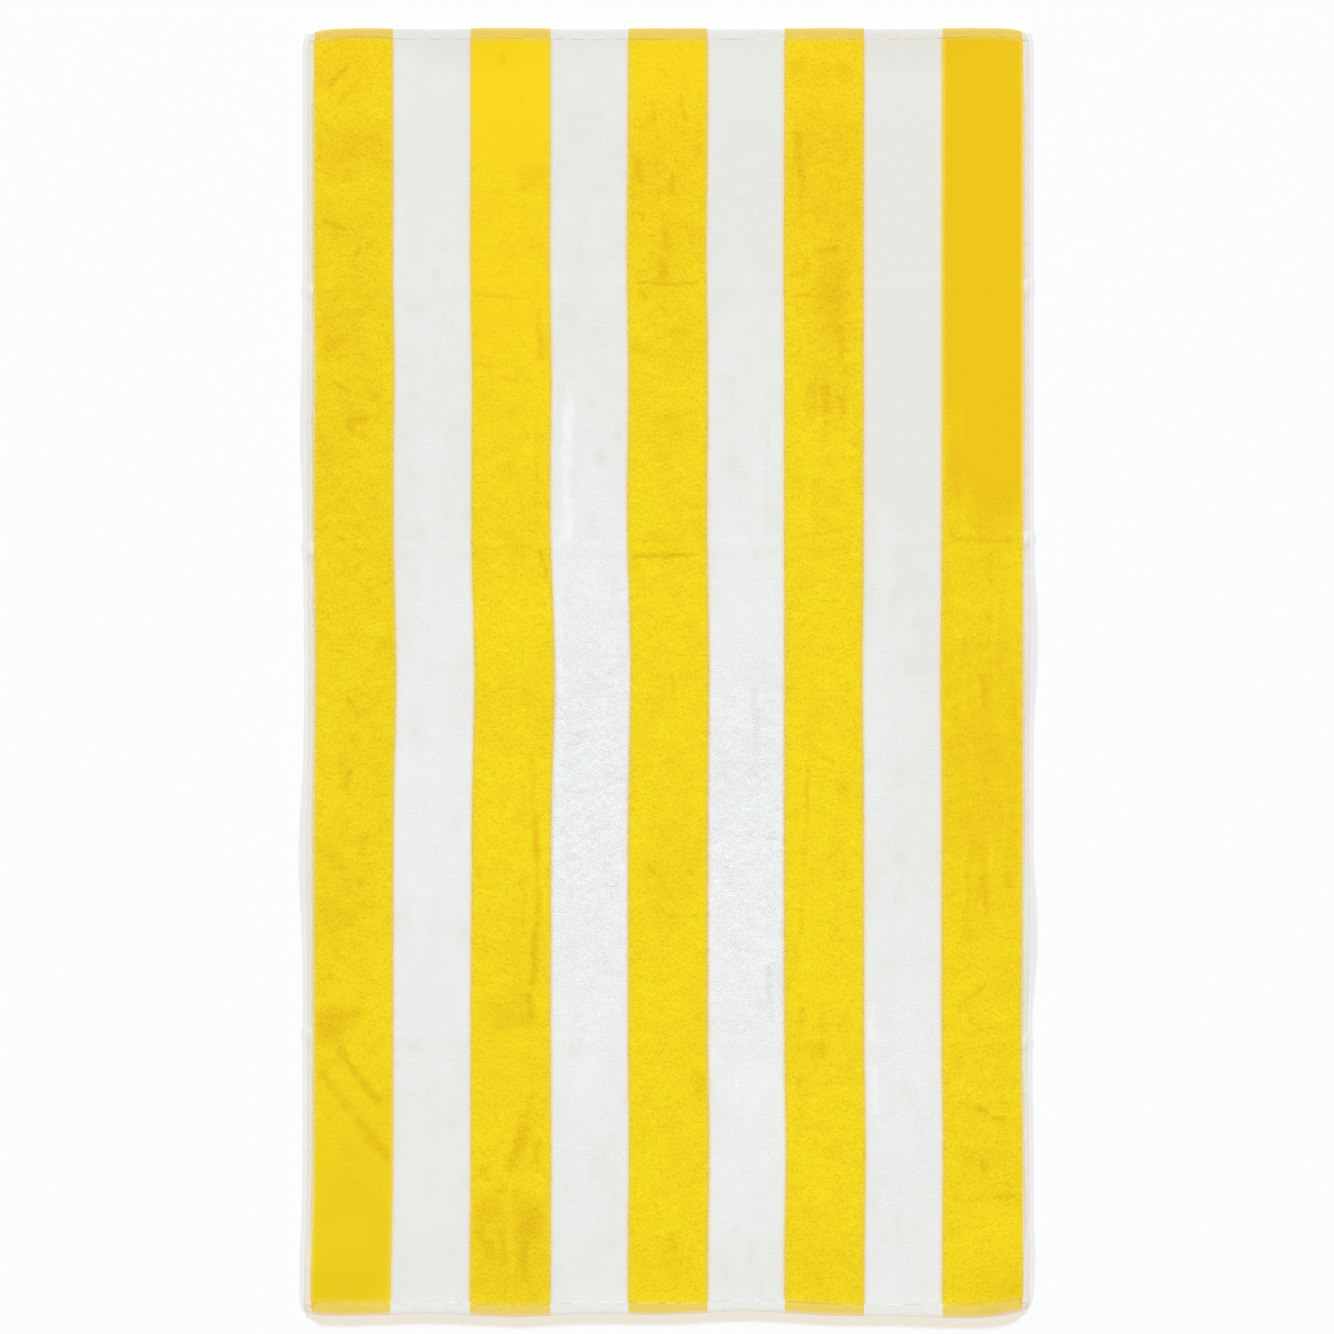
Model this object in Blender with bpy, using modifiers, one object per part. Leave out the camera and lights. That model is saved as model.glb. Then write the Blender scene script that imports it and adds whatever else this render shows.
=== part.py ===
"""Beach towel lying face up on a flat surface, 0.90 m wide and 1.60 m long.

One closed cloth: a thick pile field, thinner flat-woven hems at both ends and thin selvedges
down both sides, lifted along the creases that its folds left and slightly drawn out of square.
+X runs across the stripes, +Y along them and +Z up. The surface it lies on is z = 0.
"""

import math

import bmesh
import bpy
import numpy as np

# Driving dimensions, in metres.
TOWEL_WIDTH = 0.900
TOWEL_LENGTH = 1.600
SELVEDGE_WIDTH = 0.0098
HEM_DEPTH = 0.0150
PILE_THICKNESS = 0.0034
HEM_THICKNESS = 0.0024
SELVEDGE_THICKNESS = 0.0016
PILE_EDGE_WIDTH = 0.0040  # over which the pile rises from a hem or selvedge
STRIPE_PITCH = 0.196  # one yellow and one white stripe; a yellow one is centred on x = 0
# How far yellow ends stand out from, and white ends stay in of, the mean, at the top and the bottom.
TOP_END_BULGE = 0.0004
BOTTOM_END_BULGE = 0.0012
END_BULGE_REACH = 0.045  # how far in from an end that shows
CORNER_REACH = 0.026  # length of edge over which a corner is drawn in
CORNER_DRAWN_IN = 0.004
EDGE_LIFT = 0.0003  # the edges stand this much off the surface, and only their corners touch it
EDGE_LIFT_WIDTH = 0.030

LONGEST_CELL_ACROSS = 0.025
LONGEST_CELL_ALONG = 0.028

# Creases: a raised line from a start to an end, bowed sideways in the middle. Those that run off
# the cloth start or end beyond its edge.
CREASE_COLUMNS = ("start_x", "start_y", "end_x", "end_y", "bow", "half_width", "height")
CROSS_CREASES = (
    (-0.500, 0.470, 0.500, 0.474, 0.006, 0.014, 0.0006),
    (-0.500, 0.149, 0.500, 0.164, -0.003, 0.014, 0.0008),
    (-0.090, -0.116, 0.285, -0.114, 0.002, 0.012, 0.0005),
    (-0.500, -0.453, 0.500, -0.462, -0.004, 0.014, 0.0006),
)
LONG_CREASES = (
    (-0.150, 0.475, -0.153, 0.120, 0.002, 0.009, 0.0010),
    (-0.164, -0.090, -0.166, -0.470, -0.002, 0.009, 0.0010),
    (0.173, 0.330, 0.181, -0.430, 0.003, 0.010, 0.0010),
)
SLANTING_CREASES = (
    (-0.446, -0.478, -0.338, -0.606, 0.004, 0.015, 0.0012),
    (0.342, -0.530, 0.443, -0.570, 0.003, 0.014, 0.0009),
)
CREASE_END_LENGTH = 0.050  # over which a crease dies out

# Cockles: broad low swellings where the cloth doesn't lie quite flat.
COCKLE_COLUMNS = ("centre_x", "centre_y", "reach_x", "reach_y", "height")
COCKLES = (
    (-0.205, 0.010, 0.100, 0.120, 0.0022),
    (0.450, 0.040, 0.070, 0.130, 0.0018),
    (-0.450, -0.230, 0.060, 0.140, 0.0016),
    (-0.450, 0.330, 0.060, 0.150, 0.0014),
    (0.450, -0.330, 0.070, 0.110, 0.0020),
    (-0.400, -0.740, 0.060, 0.070, 0.0020),
    (0.405, -0.735, 0.060, 0.075, 0.0030),
    (0.300, 0.800, 0.110, 0.060, 0.0014),
    (-0.240, 0.800, 0.120, 0.060, 0.0014),
)

# Pulls: where the cloth is drawn sideways in its own plane.
PULL_COLUMNS = ("centre_x", "centre_y", "reach_x", "reach_y", "shift_x", "shift_y")
PULLS = (
    (-0.205, -0.005, 0.240, 0.125, 0.0050, 0.0),
    (-0.060, 0.185, 0.150, 0.090, -0.0014, 0.0),
    (0.225, 0.000, 0.200, 5.000, -0.0024, 0.0),
    (0.290, -0.010, 0.110, 0.090, -0.0019, 0.0),
    (0.292, 0.050, 0.105, 0.650, -0.0013, 0.0),
    (-0.255, 0.250, 0.060, 0.100, 0.0015, 0.0),
    (-0.250, -0.230, 0.055, 0.130, 0.0013, 0.0),
    (-0.430, 0.000, 0.016, 5.000, 0.0012, 0.0),
    (-0.440, -0.790, 0.180, 0.110, -0.0042, 0.0),
    (0.145, -0.595, 0.260, 0.085, 0.0020, 0.0),
    (-0.340, 0.370, 0.280, 0.070, 0.0016, 0.0),
    (0.450, -0.440, 0.085, 0.170, -0.0019, 0.0),
    (0.000, 0.520, 0.200, 0.100, -0.0016, 0.0),
    (0.000, 0.800, 5.000, 0.120, 0.0, -0.0005),
    (-0.450, 0.800, 0.036, 0.060, 0.0, -0.0028),
    (0.450, 0.800, 0.025, 0.060, 0.0, -0.0020),
    (-0.180, -0.800, 0.060, 0.060, 0.0, -0.0018),
    (0.100, -0.800, 0.105, 0.060, 0.0, 0.0032),
    (0.330, -0.800, 0.110, 0.060, 0.0, -0.0038),
    (0.450, -0.800, 0.036, 0.110, 0.0, 0.0062),
)

YELLOW = (0.875, 0.651, 0.016, 1.0)


def rows(columns, table):
    """Each row of a table, as its columns' names and values."""
    return [dict(zip(columns, row)) for row in table]


def all_creases():
    """Every crease, as its columns' names and values."""
    return rows(CREASE_COLUMNS, CROSS_CREASES + LONG_CREASES + SLANTING_CREASES)


def eased(share):
    """0 up to 0, 1 from 1 on, and a smooth rise between."""
    share = np.clip(share, 0.0, 1.0)
    return share * share * (3.0 - 2.0 * share)


def hump(distance):
    """1 at distance 0, falling smoothly to 0 at distance 1 and beyond."""
    return np.clip(1.0 - distance * distance, 0.0, None) ** 2


def crease_lift(x, y, crease):
    """Height of one crease over the points x, y."""
    run_x = crease["end_x"] - crease["start_x"]
    run_y = crease["end_y"] - crease["start_y"]
    length = math.hypot(run_x, run_y)
    along = ((x - crease["start_x"]) * run_x + (y - crease["start_y"]) * run_y) / length**2
    aside = ((y - crease["start_y"]) * run_x - (x - crease["start_x"]) * run_y) / length
    aside = aside - crease["bow"] * 4.0 * along * (1.0 - along)
    ends = eased(np.minimum(along, 1.0 - along) * length / CREASE_END_LENGTH)
    return crease["height"] * ends * hump(aside / crease["half_width"])


def cockle_lift(x, y, cockle):
    """Height of one cockle over the points x, y."""
    across = (x - cockle["centre_x"]) / cockle["reach_x"]
    along = (y - cockle["centre_y"]) / cockle["reach_y"]
    return cockle["height"] * hump(np.hypot(across, along))


def inward(x, y):
    """How far the points x, y lie in from the nearer side and from the nearer end."""
    return TOWEL_WIDTH / 2 - np.abs(x), TOWEL_LENGTH / 2 - np.abs(y)


def nearness_to_corner(x, y):
    """1 at a corner, falling to 0 at CORNER_REACH from its side or its end."""
    from_side, from_end = inward(x, y)
    near_side = np.clip(1.0 - from_side / CORNER_REACH, 0.0, 1.0)
    near_end = np.clip(1.0 - from_end / CORNER_REACH, 0.0, 1.0)
    return (near_side * near_end) ** 2


def edge_lift(x, y):
    """Height of the edges, which only touch the surface at their corners."""
    from_edge = np.minimum(*inward(x, y))
    return EDGE_LIFT * eased(1.0 - from_edge / EDGE_LIFT_WIDTH) * (1.0 - nearness_to_corner(x, y))


def lift(x, y):
    """Height of the cloth's underside: 0 where it rests."""
    creases = sum(crease_lift(x, y, crease) for crease in all_creases())
    cockles = sum(cockle_lift(x, y, cockle) for cockle in rows(COCKLE_COLUMNS, COCKLES))
    return creases + cockles + edge_lift(x, y)


def thickness(x, y):
    """Thickness of the cloth: pile in the field, less at the hems and least at the selvedges."""
    from_side, from_end = inward(x, y)
    inside_selvedge = eased((from_side - SELVEDGE_WIDTH) / PILE_EDGE_WIDTH)
    inside_hem = eased((from_end - HEM_DEPTH) / PILE_EDGE_WIDTH)
    middle = HEM_THICKNESS + (PILE_THICKNESS - HEM_THICKNESS) * inside_hem
    return SELVEDGE_THICKNESS + (middle - SELVEDGE_THICKNESS) * inside_selvedge


def drawn(x, y):
    """Where the points x, y of the square cloth lie once it is spread out, drawn and pulled."""
    from_end = inward(x, y)[1]
    bulge = np.where(y > 0, TOP_END_BULGE, BOTTOM_END_BULGE)
    bulge = bulge * np.cos(2.0 * math.pi * x / STRIPE_PITCH)
    bulge = bulge * eased(1.0 - from_end / END_BULGE_REACH)
    corner = CORNER_DRAWN_IN * nearness_to_corner(x, y)
    moved_x = x - np.sign(x) * corner
    moved_y = y + np.sign(y) * (bulge - corner)
    for pull in rows(PULL_COLUMNS, PULLS):
        across = (x - pull["centre_x"]) / pull["reach_x"]
        along = (y - pull["centre_y"]) / pull["reach_y"]
        share = np.exp(-(across**2) - along**2)
        moved_x = moved_x + pull["shift_x"] * share
        moved_y = moved_y + pull["shift_y"] * share
    return moved_x, moved_y


def grid_lines(stops, longest):
    """Grid lines through every stop, with even cells no longer than longest between them."""
    stops = sorted(stops)
    lines = [stops[0]]
    for start, end in zip(stops, stops[1:]):
        cells = math.ceil((end - start) / longest)
        lines += [start + (end - start) * (i + 1) / cells for i in range(cells)]
    return np.array(lines)


def edge_stops(full, border):
    """The edges of the cloth, and both feet of the pile's rise beside its borders."""
    half = full / 2
    inner = half - border
    return [side * at for side in (-1, 1) for at in (half, inner, inner - PILE_EDGE_WIDTH)]


def stops_across():
    """Where grid lines that run along the cloth have to be: its borders and its long creases."""
    stops = edge_stops(TOWEL_WIDTH, SELVEDGE_WIDTH)
    for crease in rows(CREASE_COLUMNS, LONG_CREASES):
        middle = (crease["start_x"] + crease["end_x"]) / 2 + crease["bow"]
        near = [at for at in stops if abs(at - middle) < 2 * crease["half_width"]]
        if not near:
            stops += [middle + side * crease["half_width"] for side in (-1, 0, 1)]
    return stops


def stops_along():
    """Where grid lines that run across the cloth have to be: its borders and its cross creases."""
    stops = edge_stops(TOWEL_LENGTH, HEM_DEPTH)
    for crease in rows(CREASE_COLUMNS, CROSS_CREASES):
        middle = (crease["start_y"] + crease["end_y"]) / 2 + crease["bow"]
        stops += [middle + side * crease["half_width"] for side in (-1, 0, 1)]
    return stops


def cloth_mesh():
    """The underside of the spread cloth, as a grid, with each point's share of the pile's thickness."""
    across = grid_lines(stops_across(), LONGEST_CELL_ACROSS)
    along = grid_lines(stops_along(), LONGEST_CELL_ALONG)
    mesh = bpy.data.meshes.new("beach_towel")
    cloth = bmesh.new()
    bmesh.ops.create_grid(cloth, x_segments=len(across) - 1, y_segments=len(along) - 1, size=0.5)
    cloth.verts.ensure_lookup_table()
    place = np.array([vertex.co[:2] for vertex in cloth.verts]) + 0.5
    x = across[np.rint(place[:, 0] * (len(across) - 1)).astype(int)]
    y = along[np.rint(place[:, 1] * (len(along) - 1)).astype(int)]
    spread_x, spread_y = drawn(x, y)
    spread_x = spread_x - (spread_x.min() + spread_x.max()) / 2
    spread_y = spread_y - (spread_y.min() + spread_y.max()) / 2
    height = lift(x, y)
    for vertex, point in zip(cloth.verts, zip(spread_x, spread_y, height)):
        vertex.co = point
    cloth.to_mesh(mesh)
    cloth.free()
    return mesh, thickness(x, y) / PILE_THICKNESS


def towelling():
    """Yellow pile cloth, the colour that most of the face has."""
    material = bpy.data.materials.new("towelling")
    material.use_nodes = True
    shader = material.node_tree.nodes["Principled BSDF"]
    shader.inputs["Base Color"].default_value = YELLOW
    shader.inputs["Roughness"].default_value = 0.95
    shader.inputs["Metallic"].default_value = 0.0
    return material


def beach_towel(collection):
    """The whole towel: the spread cloth, thickened upwards from its underside."""
    mesh, shares = cloth_mesh()
    towel = bpy.data.objects.new("beach_towel", mesh)
    collection.objects.link(towel)
    mesh.materials.append(towelling())
    mesh.shade_smooth()
    group = towel.vertex_groups.new(name="thickness")
    for index, share in enumerate(shares):
        group.add([index], float(share), "REPLACE")
    thicken = towel.modifiers.new("thickness", "SOLIDIFY")
    thicken.thickness = PILE_THICKNESS
    thicken.offset = 1.0
    thicken.vertex_group = group.name
    return towel


def main():
    for thing in list(bpy.data.objects):
        bpy.data.objects.remove(thing, do_unlink=True)
    collection = bpy.data.collections.new("beach_towel")
    bpy.context.scene.collection.children.link(collection)
    beach_towel(collection)


main()
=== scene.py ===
"""Beach towel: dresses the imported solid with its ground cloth, hems, stitching and striped pile."""

import math

import bmesh
import bpy
import numpy as np
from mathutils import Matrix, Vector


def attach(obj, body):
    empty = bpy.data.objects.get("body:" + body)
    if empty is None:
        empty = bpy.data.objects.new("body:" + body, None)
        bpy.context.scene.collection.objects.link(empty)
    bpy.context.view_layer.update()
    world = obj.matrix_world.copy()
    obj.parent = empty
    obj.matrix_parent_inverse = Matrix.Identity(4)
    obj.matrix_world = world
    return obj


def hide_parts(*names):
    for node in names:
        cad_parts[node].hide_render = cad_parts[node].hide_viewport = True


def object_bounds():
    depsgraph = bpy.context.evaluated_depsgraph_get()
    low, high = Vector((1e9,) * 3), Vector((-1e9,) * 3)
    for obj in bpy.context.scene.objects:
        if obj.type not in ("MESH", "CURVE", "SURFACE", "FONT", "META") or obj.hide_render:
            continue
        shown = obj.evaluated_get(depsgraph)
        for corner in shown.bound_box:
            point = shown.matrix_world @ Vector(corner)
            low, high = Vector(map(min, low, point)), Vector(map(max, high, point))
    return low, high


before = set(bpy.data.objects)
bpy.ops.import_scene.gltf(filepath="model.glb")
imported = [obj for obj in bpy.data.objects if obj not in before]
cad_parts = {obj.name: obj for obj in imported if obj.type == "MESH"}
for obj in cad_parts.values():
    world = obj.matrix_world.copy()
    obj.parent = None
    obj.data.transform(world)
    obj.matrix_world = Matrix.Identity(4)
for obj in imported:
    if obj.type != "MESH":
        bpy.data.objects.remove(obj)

CAD_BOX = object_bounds()

bl_info = {
    "name": "Beach towel",
    "version": (1, 0, 0),
    "blender": (4, 5, 0),
    "location": "3D View > Sidebar > Towel",
    "description": "Builds a striped cotton beach towel that lies flat, and the stage for its picture",
    "category": "Add Mesh",
}

# ---------------------------------------------------------------------------------------------
# How the cloth lies. The rows repeat the solid's own creases, cockles and pulls, in metres, on the
# flat cloth: +X across the stripes, +Y along them, 0 in the middle.
# ---------------------------------------------------------------------------------------------

STRIPE_PITCH = 0.196  # one yellow and one white stripe; a yellow one is centred on x = 0
TOP_END_BULGE = 0.0004
BOTTOM_END_BULGE = 0.0012
END_BULGE_REACH = 0.045
CORNER_REACH = 0.026
CORNER_DRAWN_IN = 0.004
EDGE_LIFT = 0.0003  # the edges stand this much off the surface, and only their corners touch it
EDGE_LIFT_WIDTH = 0.030
LINE_END_LENGTH = 0.050  # over which a crease dies out

LINE_COLUMNS = ("start_x", "start_y", "end_x", "end_y", "bow", "half_width", "height")
CROSS_CREASES = (
    (-0.500, 0.470, 0.500, 0.474, 0.006, 0.014, 0.0006),
    (-0.500, 0.149, 0.500, 0.164, -0.003, 0.014, 0.0008),
    (-0.090, -0.116, 0.285, -0.114, 0.002, 0.012, 0.0005),
    (-0.500, -0.453, 0.500, -0.462, -0.004, 0.014, 0.0006),
)
LONG_CREASES = (
    (-0.150, 0.475, -0.153, 0.120, 0.002, 0.009, 0.0010),
    (-0.164, -0.090, -0.166, -0.470, -0.002, 0.009, 0.0010),
    (0.173, 0.330, 0.181, -0.430, 0.003, 0.010, 0.0010),
)
SLANTING_CREASES = (
    (-0.446, -0.478, -0.338, -0.606, 0.004, 0.015, 0.0012),
    (0.342, -0.530, 0.443, -0.570, 0.003, 0.014, 0.0009),
)

COCKLE_COLUMNS = ("centre_x", "centre_y", "reach_x", "reach_y", "height")
COCKLES = (
    (-0.205, 0.010, 0.100, 0.120, 0.0022),
    (0.450, 0.040, 0.070, 0.130, 0.0018),
    (-0.450, -0.230, 0.060, 0.140, 0.0016),
    (-0.450, 0.330, 0.060, 0.150, 0.0014),
    (0.450, -0.330, 0.070, 0.110, 0.0020),
    (-0.400, -0.740, 0.060, 0.070, 0.0020),
    (0.405, -0.735, 0.060, 0.075, 0.0030),
    (0.300, 0.800, 0.110, 0.060, 0.0014),
    (-0.240, 0.800, 0.120, 0.060, 0.0014),
)

PULL_COLUMNS = ("centre_x", "centre_y", "reach_x", "reach_y", "shift_x", "shift_y")
PULLS = (
    (-0.205, -0.005, 0.240, 0.125, 0.0050, 0.0),
    (-0.060, 0.185, 0.150, 0.090, -0.0014, 0.0),
    (0.225, 0.000, 0.200, 5.000, -0.0024, 0.0),
    (0.290, -0.010, 0.110, 0.090, -0.0019, 0.0),
    (0.292, 0.050, 0.105, 0.650, -0.0013, 0.0),
    (-0.255, 0.250, 0.060, 0.100, 0.0015, 0.0),
    (-0.250, -0.230, 0.055, 0.130, 0.0013, 0.0),
    (-0.430, 0.000, 0.016, 5.000, 0.0012, 0.0),
    (-0.440, -0.790, 0.180, 0.110, -0.0042, 0.0),
    (0.145, -0.595, 0.260, 0.085, 0.0020, 0.0),
    (-0.340, 0.370, 0.280, 0.070, 0.0016, 0.0),
    (0.450, -0.440, 0.085, 0.170, -0.0019, 0.0),
    (0.000, 0.520, 0.200, 0.100, -0.0016, 0.0),
    (0.000, 0.800, 5.000, 0.120, 0.0, -0.0005),
    (-0.450, 0.800, 0.036, 0.060, 0.0, -0.0028),
    (0.450, 0.800, 0.025, 0.060, 0.0, -0.0020),
    (-0.180, -0.800, 0.060, 0.060, 0.0, -0.0018),
    (0.100, -0.800, 0.105, 0.060, 0.0, 0.0032),
    (0.330, -0.800, 0.110, 0.060, 0.0, -0.0038),
    (0.450, -0.800, 0.036, 0.110, 0.0, 0.0062),
)

# Strokes where the pile is pressed down, along folds and where something brushed it, in
# millimetres. Depth is how deep the colour gets, and less than 0 where the pile was raised.
# Along the creases the deeper colour is painted crease shade; elsewhere it marks the nap.
STROKE_COLUMNS = ("start_x", "start_y", "end_x", "end_y", "half_width", "depth")
STROKES = (
    (-426, 722, -394, 755, 5.0, 0.85),
    (-414, 699, -382, 742, 4.0, 0.45),
    (-434, 562, -396, 546, 4.5, 0.65),
    (-391, 510, -380, 531, 4.5, 0.55),
    (-371, 521, -370, 537, 3.5, 0.50),
    (-435, 468, -402, 476, 2.5, 0.30),
    (-402, 476, -376, 461, 2.5, 0.30),
    (-376, 461, -350, 474, 2.5, 0.30),
    (-430, 366, -395, 343, 4.0, 0.35),
    (-376, 338, -354, 344, 5.5, 0.55),
    (-423, 336, -413, 334, 5.0, 0.50),
    (-403, 314, -368, 311, 6.0, 0.80),
    (-397, 313, -391, 290, 6.5, 0.80),
    (-383, 302, -377, 283, 5.5, 0.60),
    (-428, 252, -421, 239, 4.0, 0.40),
    (-409, 211, -397, 219, 5.0, 0.60),
    (-394, 204, -383, 199, 4.0, 0.60),
    (-389, 190, -384, 170, 4.0, 0.40),
    (-417, 169, -396, 157, 4.0, 0.60),
    (-396, 157, -377, 146, 4.0, 0.75),
    (-384, 140, -391, 117, 4.0, 0.35),
    (-370, 86, -357, 80, 4.0, 0.35),
    (-418, 66, -397, 62, 3.0, 0.25),
    (-428, 26, -399, 20, 3.0, 0.30),
    (-405, -22, -385, -66, 4.0, 0.65),
    (-399, -77, -387, -91, 4.0, 0.35),
    (-397, -119, -403, -157, 5.5, 0.70),
    (-372, -238, -373, -259, 5.0, 0.40),
    (-392, -261, -373, -266, 4.5, 0.55),
    (-398, -290, -352, -296, 3.5, 0.25),
    (-419, -340, -402, -362, 4.0, 0.30),
    (-432, -368, -409, -390, 6.0, 0.50),
    (-396, -432, -379, -418, 5.0, 0.35),
    (-413, -466, -356, -543, 6.5, 0.90),
    (-437, -495, -392, -552, 8.0, 0.50),
    (-392, -552, -344, -612, 9.0, 0.60),
    (-208, 773, -204, 747, 4.5, 0.40),
    (-178, 717, -184, 699, 4.0, 0.25),
    (-213, 617, -218, 601, 3.5, 0.30),
    (-192, 596, -162, 604, 4.0, 0.40),
    (-223, 491, -199, 495, 2.5, 0.35),
    (-171, 483, -154, 477, 3.5, 0.40),
    (-246, 466, -162, 463, 2.8, 0.42),
    (-163, 457, -161, 380, 5.0, 0.60),
    (-243, 386, -215, 371, 4.0, 0.35),
    (-213, 366, -184, 360, 4.5, 0.65),
    (-186, 361, -166, 356, 4.0, 0.35),
    (-165, 312, -163, 160, 4.0, 0.25),
    (-246, 151, -165, 155, 2.5, 0.35),
    (-163, 157, -152, 112, 4.0, 0.70),
    (-168, 32, -159, 8, 5.0, 0.30),
    (-190, -114, -172, -113, 4.0, 0.30),
    (-173, -98, -168, -182, 5.0, 0.35),
    (-157, -88, -156, -117, 4.0, 0.35),
    (-166, -176, -163, -240, 6.5, 0.95),
    (-163, -232, -163, -286, 4.0, 0.60),
    (-162, -276, -164, -324, 6.0, 0.90),
    (-165, -316, -169, -396, 5.5, 0.85),
    (-176, -394, -166, -443, 6.0, 0.65),
    (-224, -244, -218, -258, 3.0, 0.30),
    (-183, -248, -180, -334, 5.0, 0.30),
    (-213, -312, -198, -308, 4.0, 0.35),
    (-227, -328, -225, -352, 5.5, 0.40),
    (-211, -375, -196, -374, 4.5, 0.60),
    (-174, -514, -162, -515, 4.5, 0.50),
    (-166, -518, -180, -562, 5.0, 0.40),
    (-176, -562, -202, -628, 11.0, 0.85),
    (-159, -578, -168, -616, 8.0, 0.65),
    (-240, -616, -219, -637, 6.0, 0.60),
    (-216, -645, -199, -651, 5.0, 0.70),
    (-238, -690, -213, -738, 9.0, 0.55),
    (-207, -692, -203, -742, 5.0, 0.50),
    (-181, -704, -176, -760, 7.0, 0.60),
    (-197, -640, -195, -780, 4.0, -0.30),
    (-12, 752, 6, 734, 5.0, 0.30),
    (-20, 712, -15, 678, 4.0, 0.50),
    (12, 716, 24, 680, 4.0, 0.50),
    (-12, 699, 6, 694, 3.5, 0.35),
    (-37, 642, -33, 598, 6.0, 0.50),
    (4, 622, 7, 587, 5.5, 0.80),
    (-30, 577, -29, 550, 4.0, 0.50),
    (-6, 557, 4, 518, 7.0, 0.70),
    (-7, 520, -3, 480, 7.0, 0.50),
    (22, 553, 35, 527, 5.0, 0.55),
    (-46, 480, 46, 482, 3.0, 0.80),
    (-37, 477, -26, 453, 6.5, 0.50),
    (-11, 424, 13, 422, 3.0, 0.30),
    (-2, 319, 4, 307, 4.0, 0.50),
    (4, 302, 4, 280, 5.0, 0.30),
    (-48, 161, 22, 162, 3.0, 0.55),
    (-49, 141, 36, 144, 3.2, 1.10),
    (1, 87, 2, 82, 4.0, 0.35),
    (16, 64, 18, 58, 4.0, 0.35),
    (-24, 37, -4, 36, 3.0, 0.25),
    (1, 0, 7, -34, 4.0, 0.60),
    (-13, -112, 16, -112, 4.0, 0.40),
    (-22, -184, -15, -191, 5.0, 0.40),
    (4, -183, 9, -198, 4.5, 0.50),
    (-31, -236, -11, -259, 4.0, 0.40),
    (-11, -259, 12, -294, 4.0, 0.30),
    (-7, -303, 17, -305, 4.0, 0.40),
    (0, -524, 1, -542, 3.0, 0.40),
    (2, -692, 8, -727, 4.5, 0.45),
    (2, -727, 2, -744, 4.5, 0.40),
    (163, 676, 168, 604, 6.0, 0.85),
    (168, 610, 167, 556, 6.0, 0.35),
    (215, 562, 218, 544, 5.0, 0.50),
    (183, 520, 223, 522, 5.0, 0.75),
    (173, 517, 176, 488, 4.5, 0.65),
    (150, 492, 180, 492, 4.0, 0.50),
    (150, 464, 184, 468, 4.0, 0.60),
    (155, 456, 176, 444, 4.0, 0.40),
    (217, 432, 215, 376, 7.0, 0.50),
    (195, 360, 203, 316, 8.0, 0.85),
    (218, 347, 222, 310, 7.0, 0.60),
    (200, 318, 198, 298, 5.0, 0.50),
    (180, 362, 178, 303, 8.0, 0.35),
    (176, 300, 176, 165, 6.0, -0.30),
    (150, 165, 241, 178, 3.0, 0.40),
    (150, 153, 206, 150, 2.6, 0.30),
    (213, -58, 213, -80, 4.5, 0.35),
    (189, -102, 213, -117, 5.0, 0.40),
    (163, -116, 162, -132, 5.0, 0.65),
    (176, -113, 174, -180, 4.0, 0.55),
    (174, -172, 167, -330, 4.0, 0.35),
    (182, -112, 181, -205, 4.0, -0.35),
    (215, -123, 221, -138, 5.0, 0.45),
    (162, -336, 162, -365, 5.0, 0.50),
    (170, -413, 165, -448, 5.5, 0.55),
    (192, -423, 195, -488, 5.0, 0.40),
    (195, -488, 223, -498, 4.0, 0.45),
    (164, -465, 163, -478, 6.0, 0.45),
    (171, -497, 160, -520, 5.0, 0.35),
    (178, -512, 230, -512, 3.0, 0.40),
    (164, -566, 181, -568, 3.0, 0.35),
    (183, -576, 186, -596, 6.0, 0.55),
    (172, -596, 193, -596, 4.0, 0.40),
    (196, -622, 192, -642, 5.0, 0.30),
    (189, -748, 190, -770, 5.0, 0.40),
    (346, 165, 434, 163, 6.5, 0.45),
    (385, 141, 399, 134, 5.0, 0.40),
    (401, 152, 402, 100, 5.0, 0.35),
    (375, 110, 379, 101, 5.0, 0.45),
    (399, 75, 401, 58, 6.0, 0.60),
    (371, 42, 372, -4, 7.0, 0.30),
    (383, 35, 412, 33, 4.0, 0.45),
    (390, 2, 398, -54, 6.0, 0.40),
    (395, -128, 396, -148, 6.0, 0.50),
    (372, -250, 371, -264, 7.0, 0.60),
    (390, -248, 387, -292, 5.0, 0.45),
    (400, -268, 398, -297, 5.0, 0.75),
    (424, -248, 423, -278, 4.0, 0.50),
    (356, -426, 396, -388, 4.5, 0.55),
    (377, -420, 374, -446, 5.0, 0.40),
    (352, -482, 359, -462, 5.0, 0.40),
    (372, -448, 432, -446, 2.6, 0.35),
    (398, -481, 427, -481, 2.6, 0.30),
    (360, -532, 380, -538, 5.0, 0.60),
    (378, -538, 402, -551, 7.0, 0.85),
    (399, -550, 425, -563, 4.5, 0.80),
    (394, -538, 407, -535, 4.0, 0.50),
    (392, -598, 393, -635, 6.5, 0.60),
    (368, -660, 402, -656, 3.0, 0.30),
    (400, -656, 434, -650, 4.0, 0.75),
    (351, -680, 352, -712, 5.0, 0.30),
    (426, -785, 434, -762, 5.0, 0.50),
    (-125, 372, -125, 158, 9.0, -0.55),
    (-139, 60, -138, -270, 6.0, -0.25),
    (106, -10, 112, -112, 5.0, 0.45),
    (119, -150, 121, -205, 5.0, -0.30),
    (126, -358, 129, -442, 5.0, 0.50),
    (86, -498, 87, -548, 4.0, -0.35),
    (94, -492, 122, -486, 4.0, -0.25),
    (125, 325, 124, 160, 4.0, 0.25),
    (258, -486, 260, -556, 5.0, -0.45),
    (263, -489, 292, -508, 4.0, -0.35),
    (256, -408, 254, -462, 6.0, -0.30),
)
PRESSED_DEPTH = 0.00035  # how far a stroke of depth 1 presses the pile down
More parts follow.
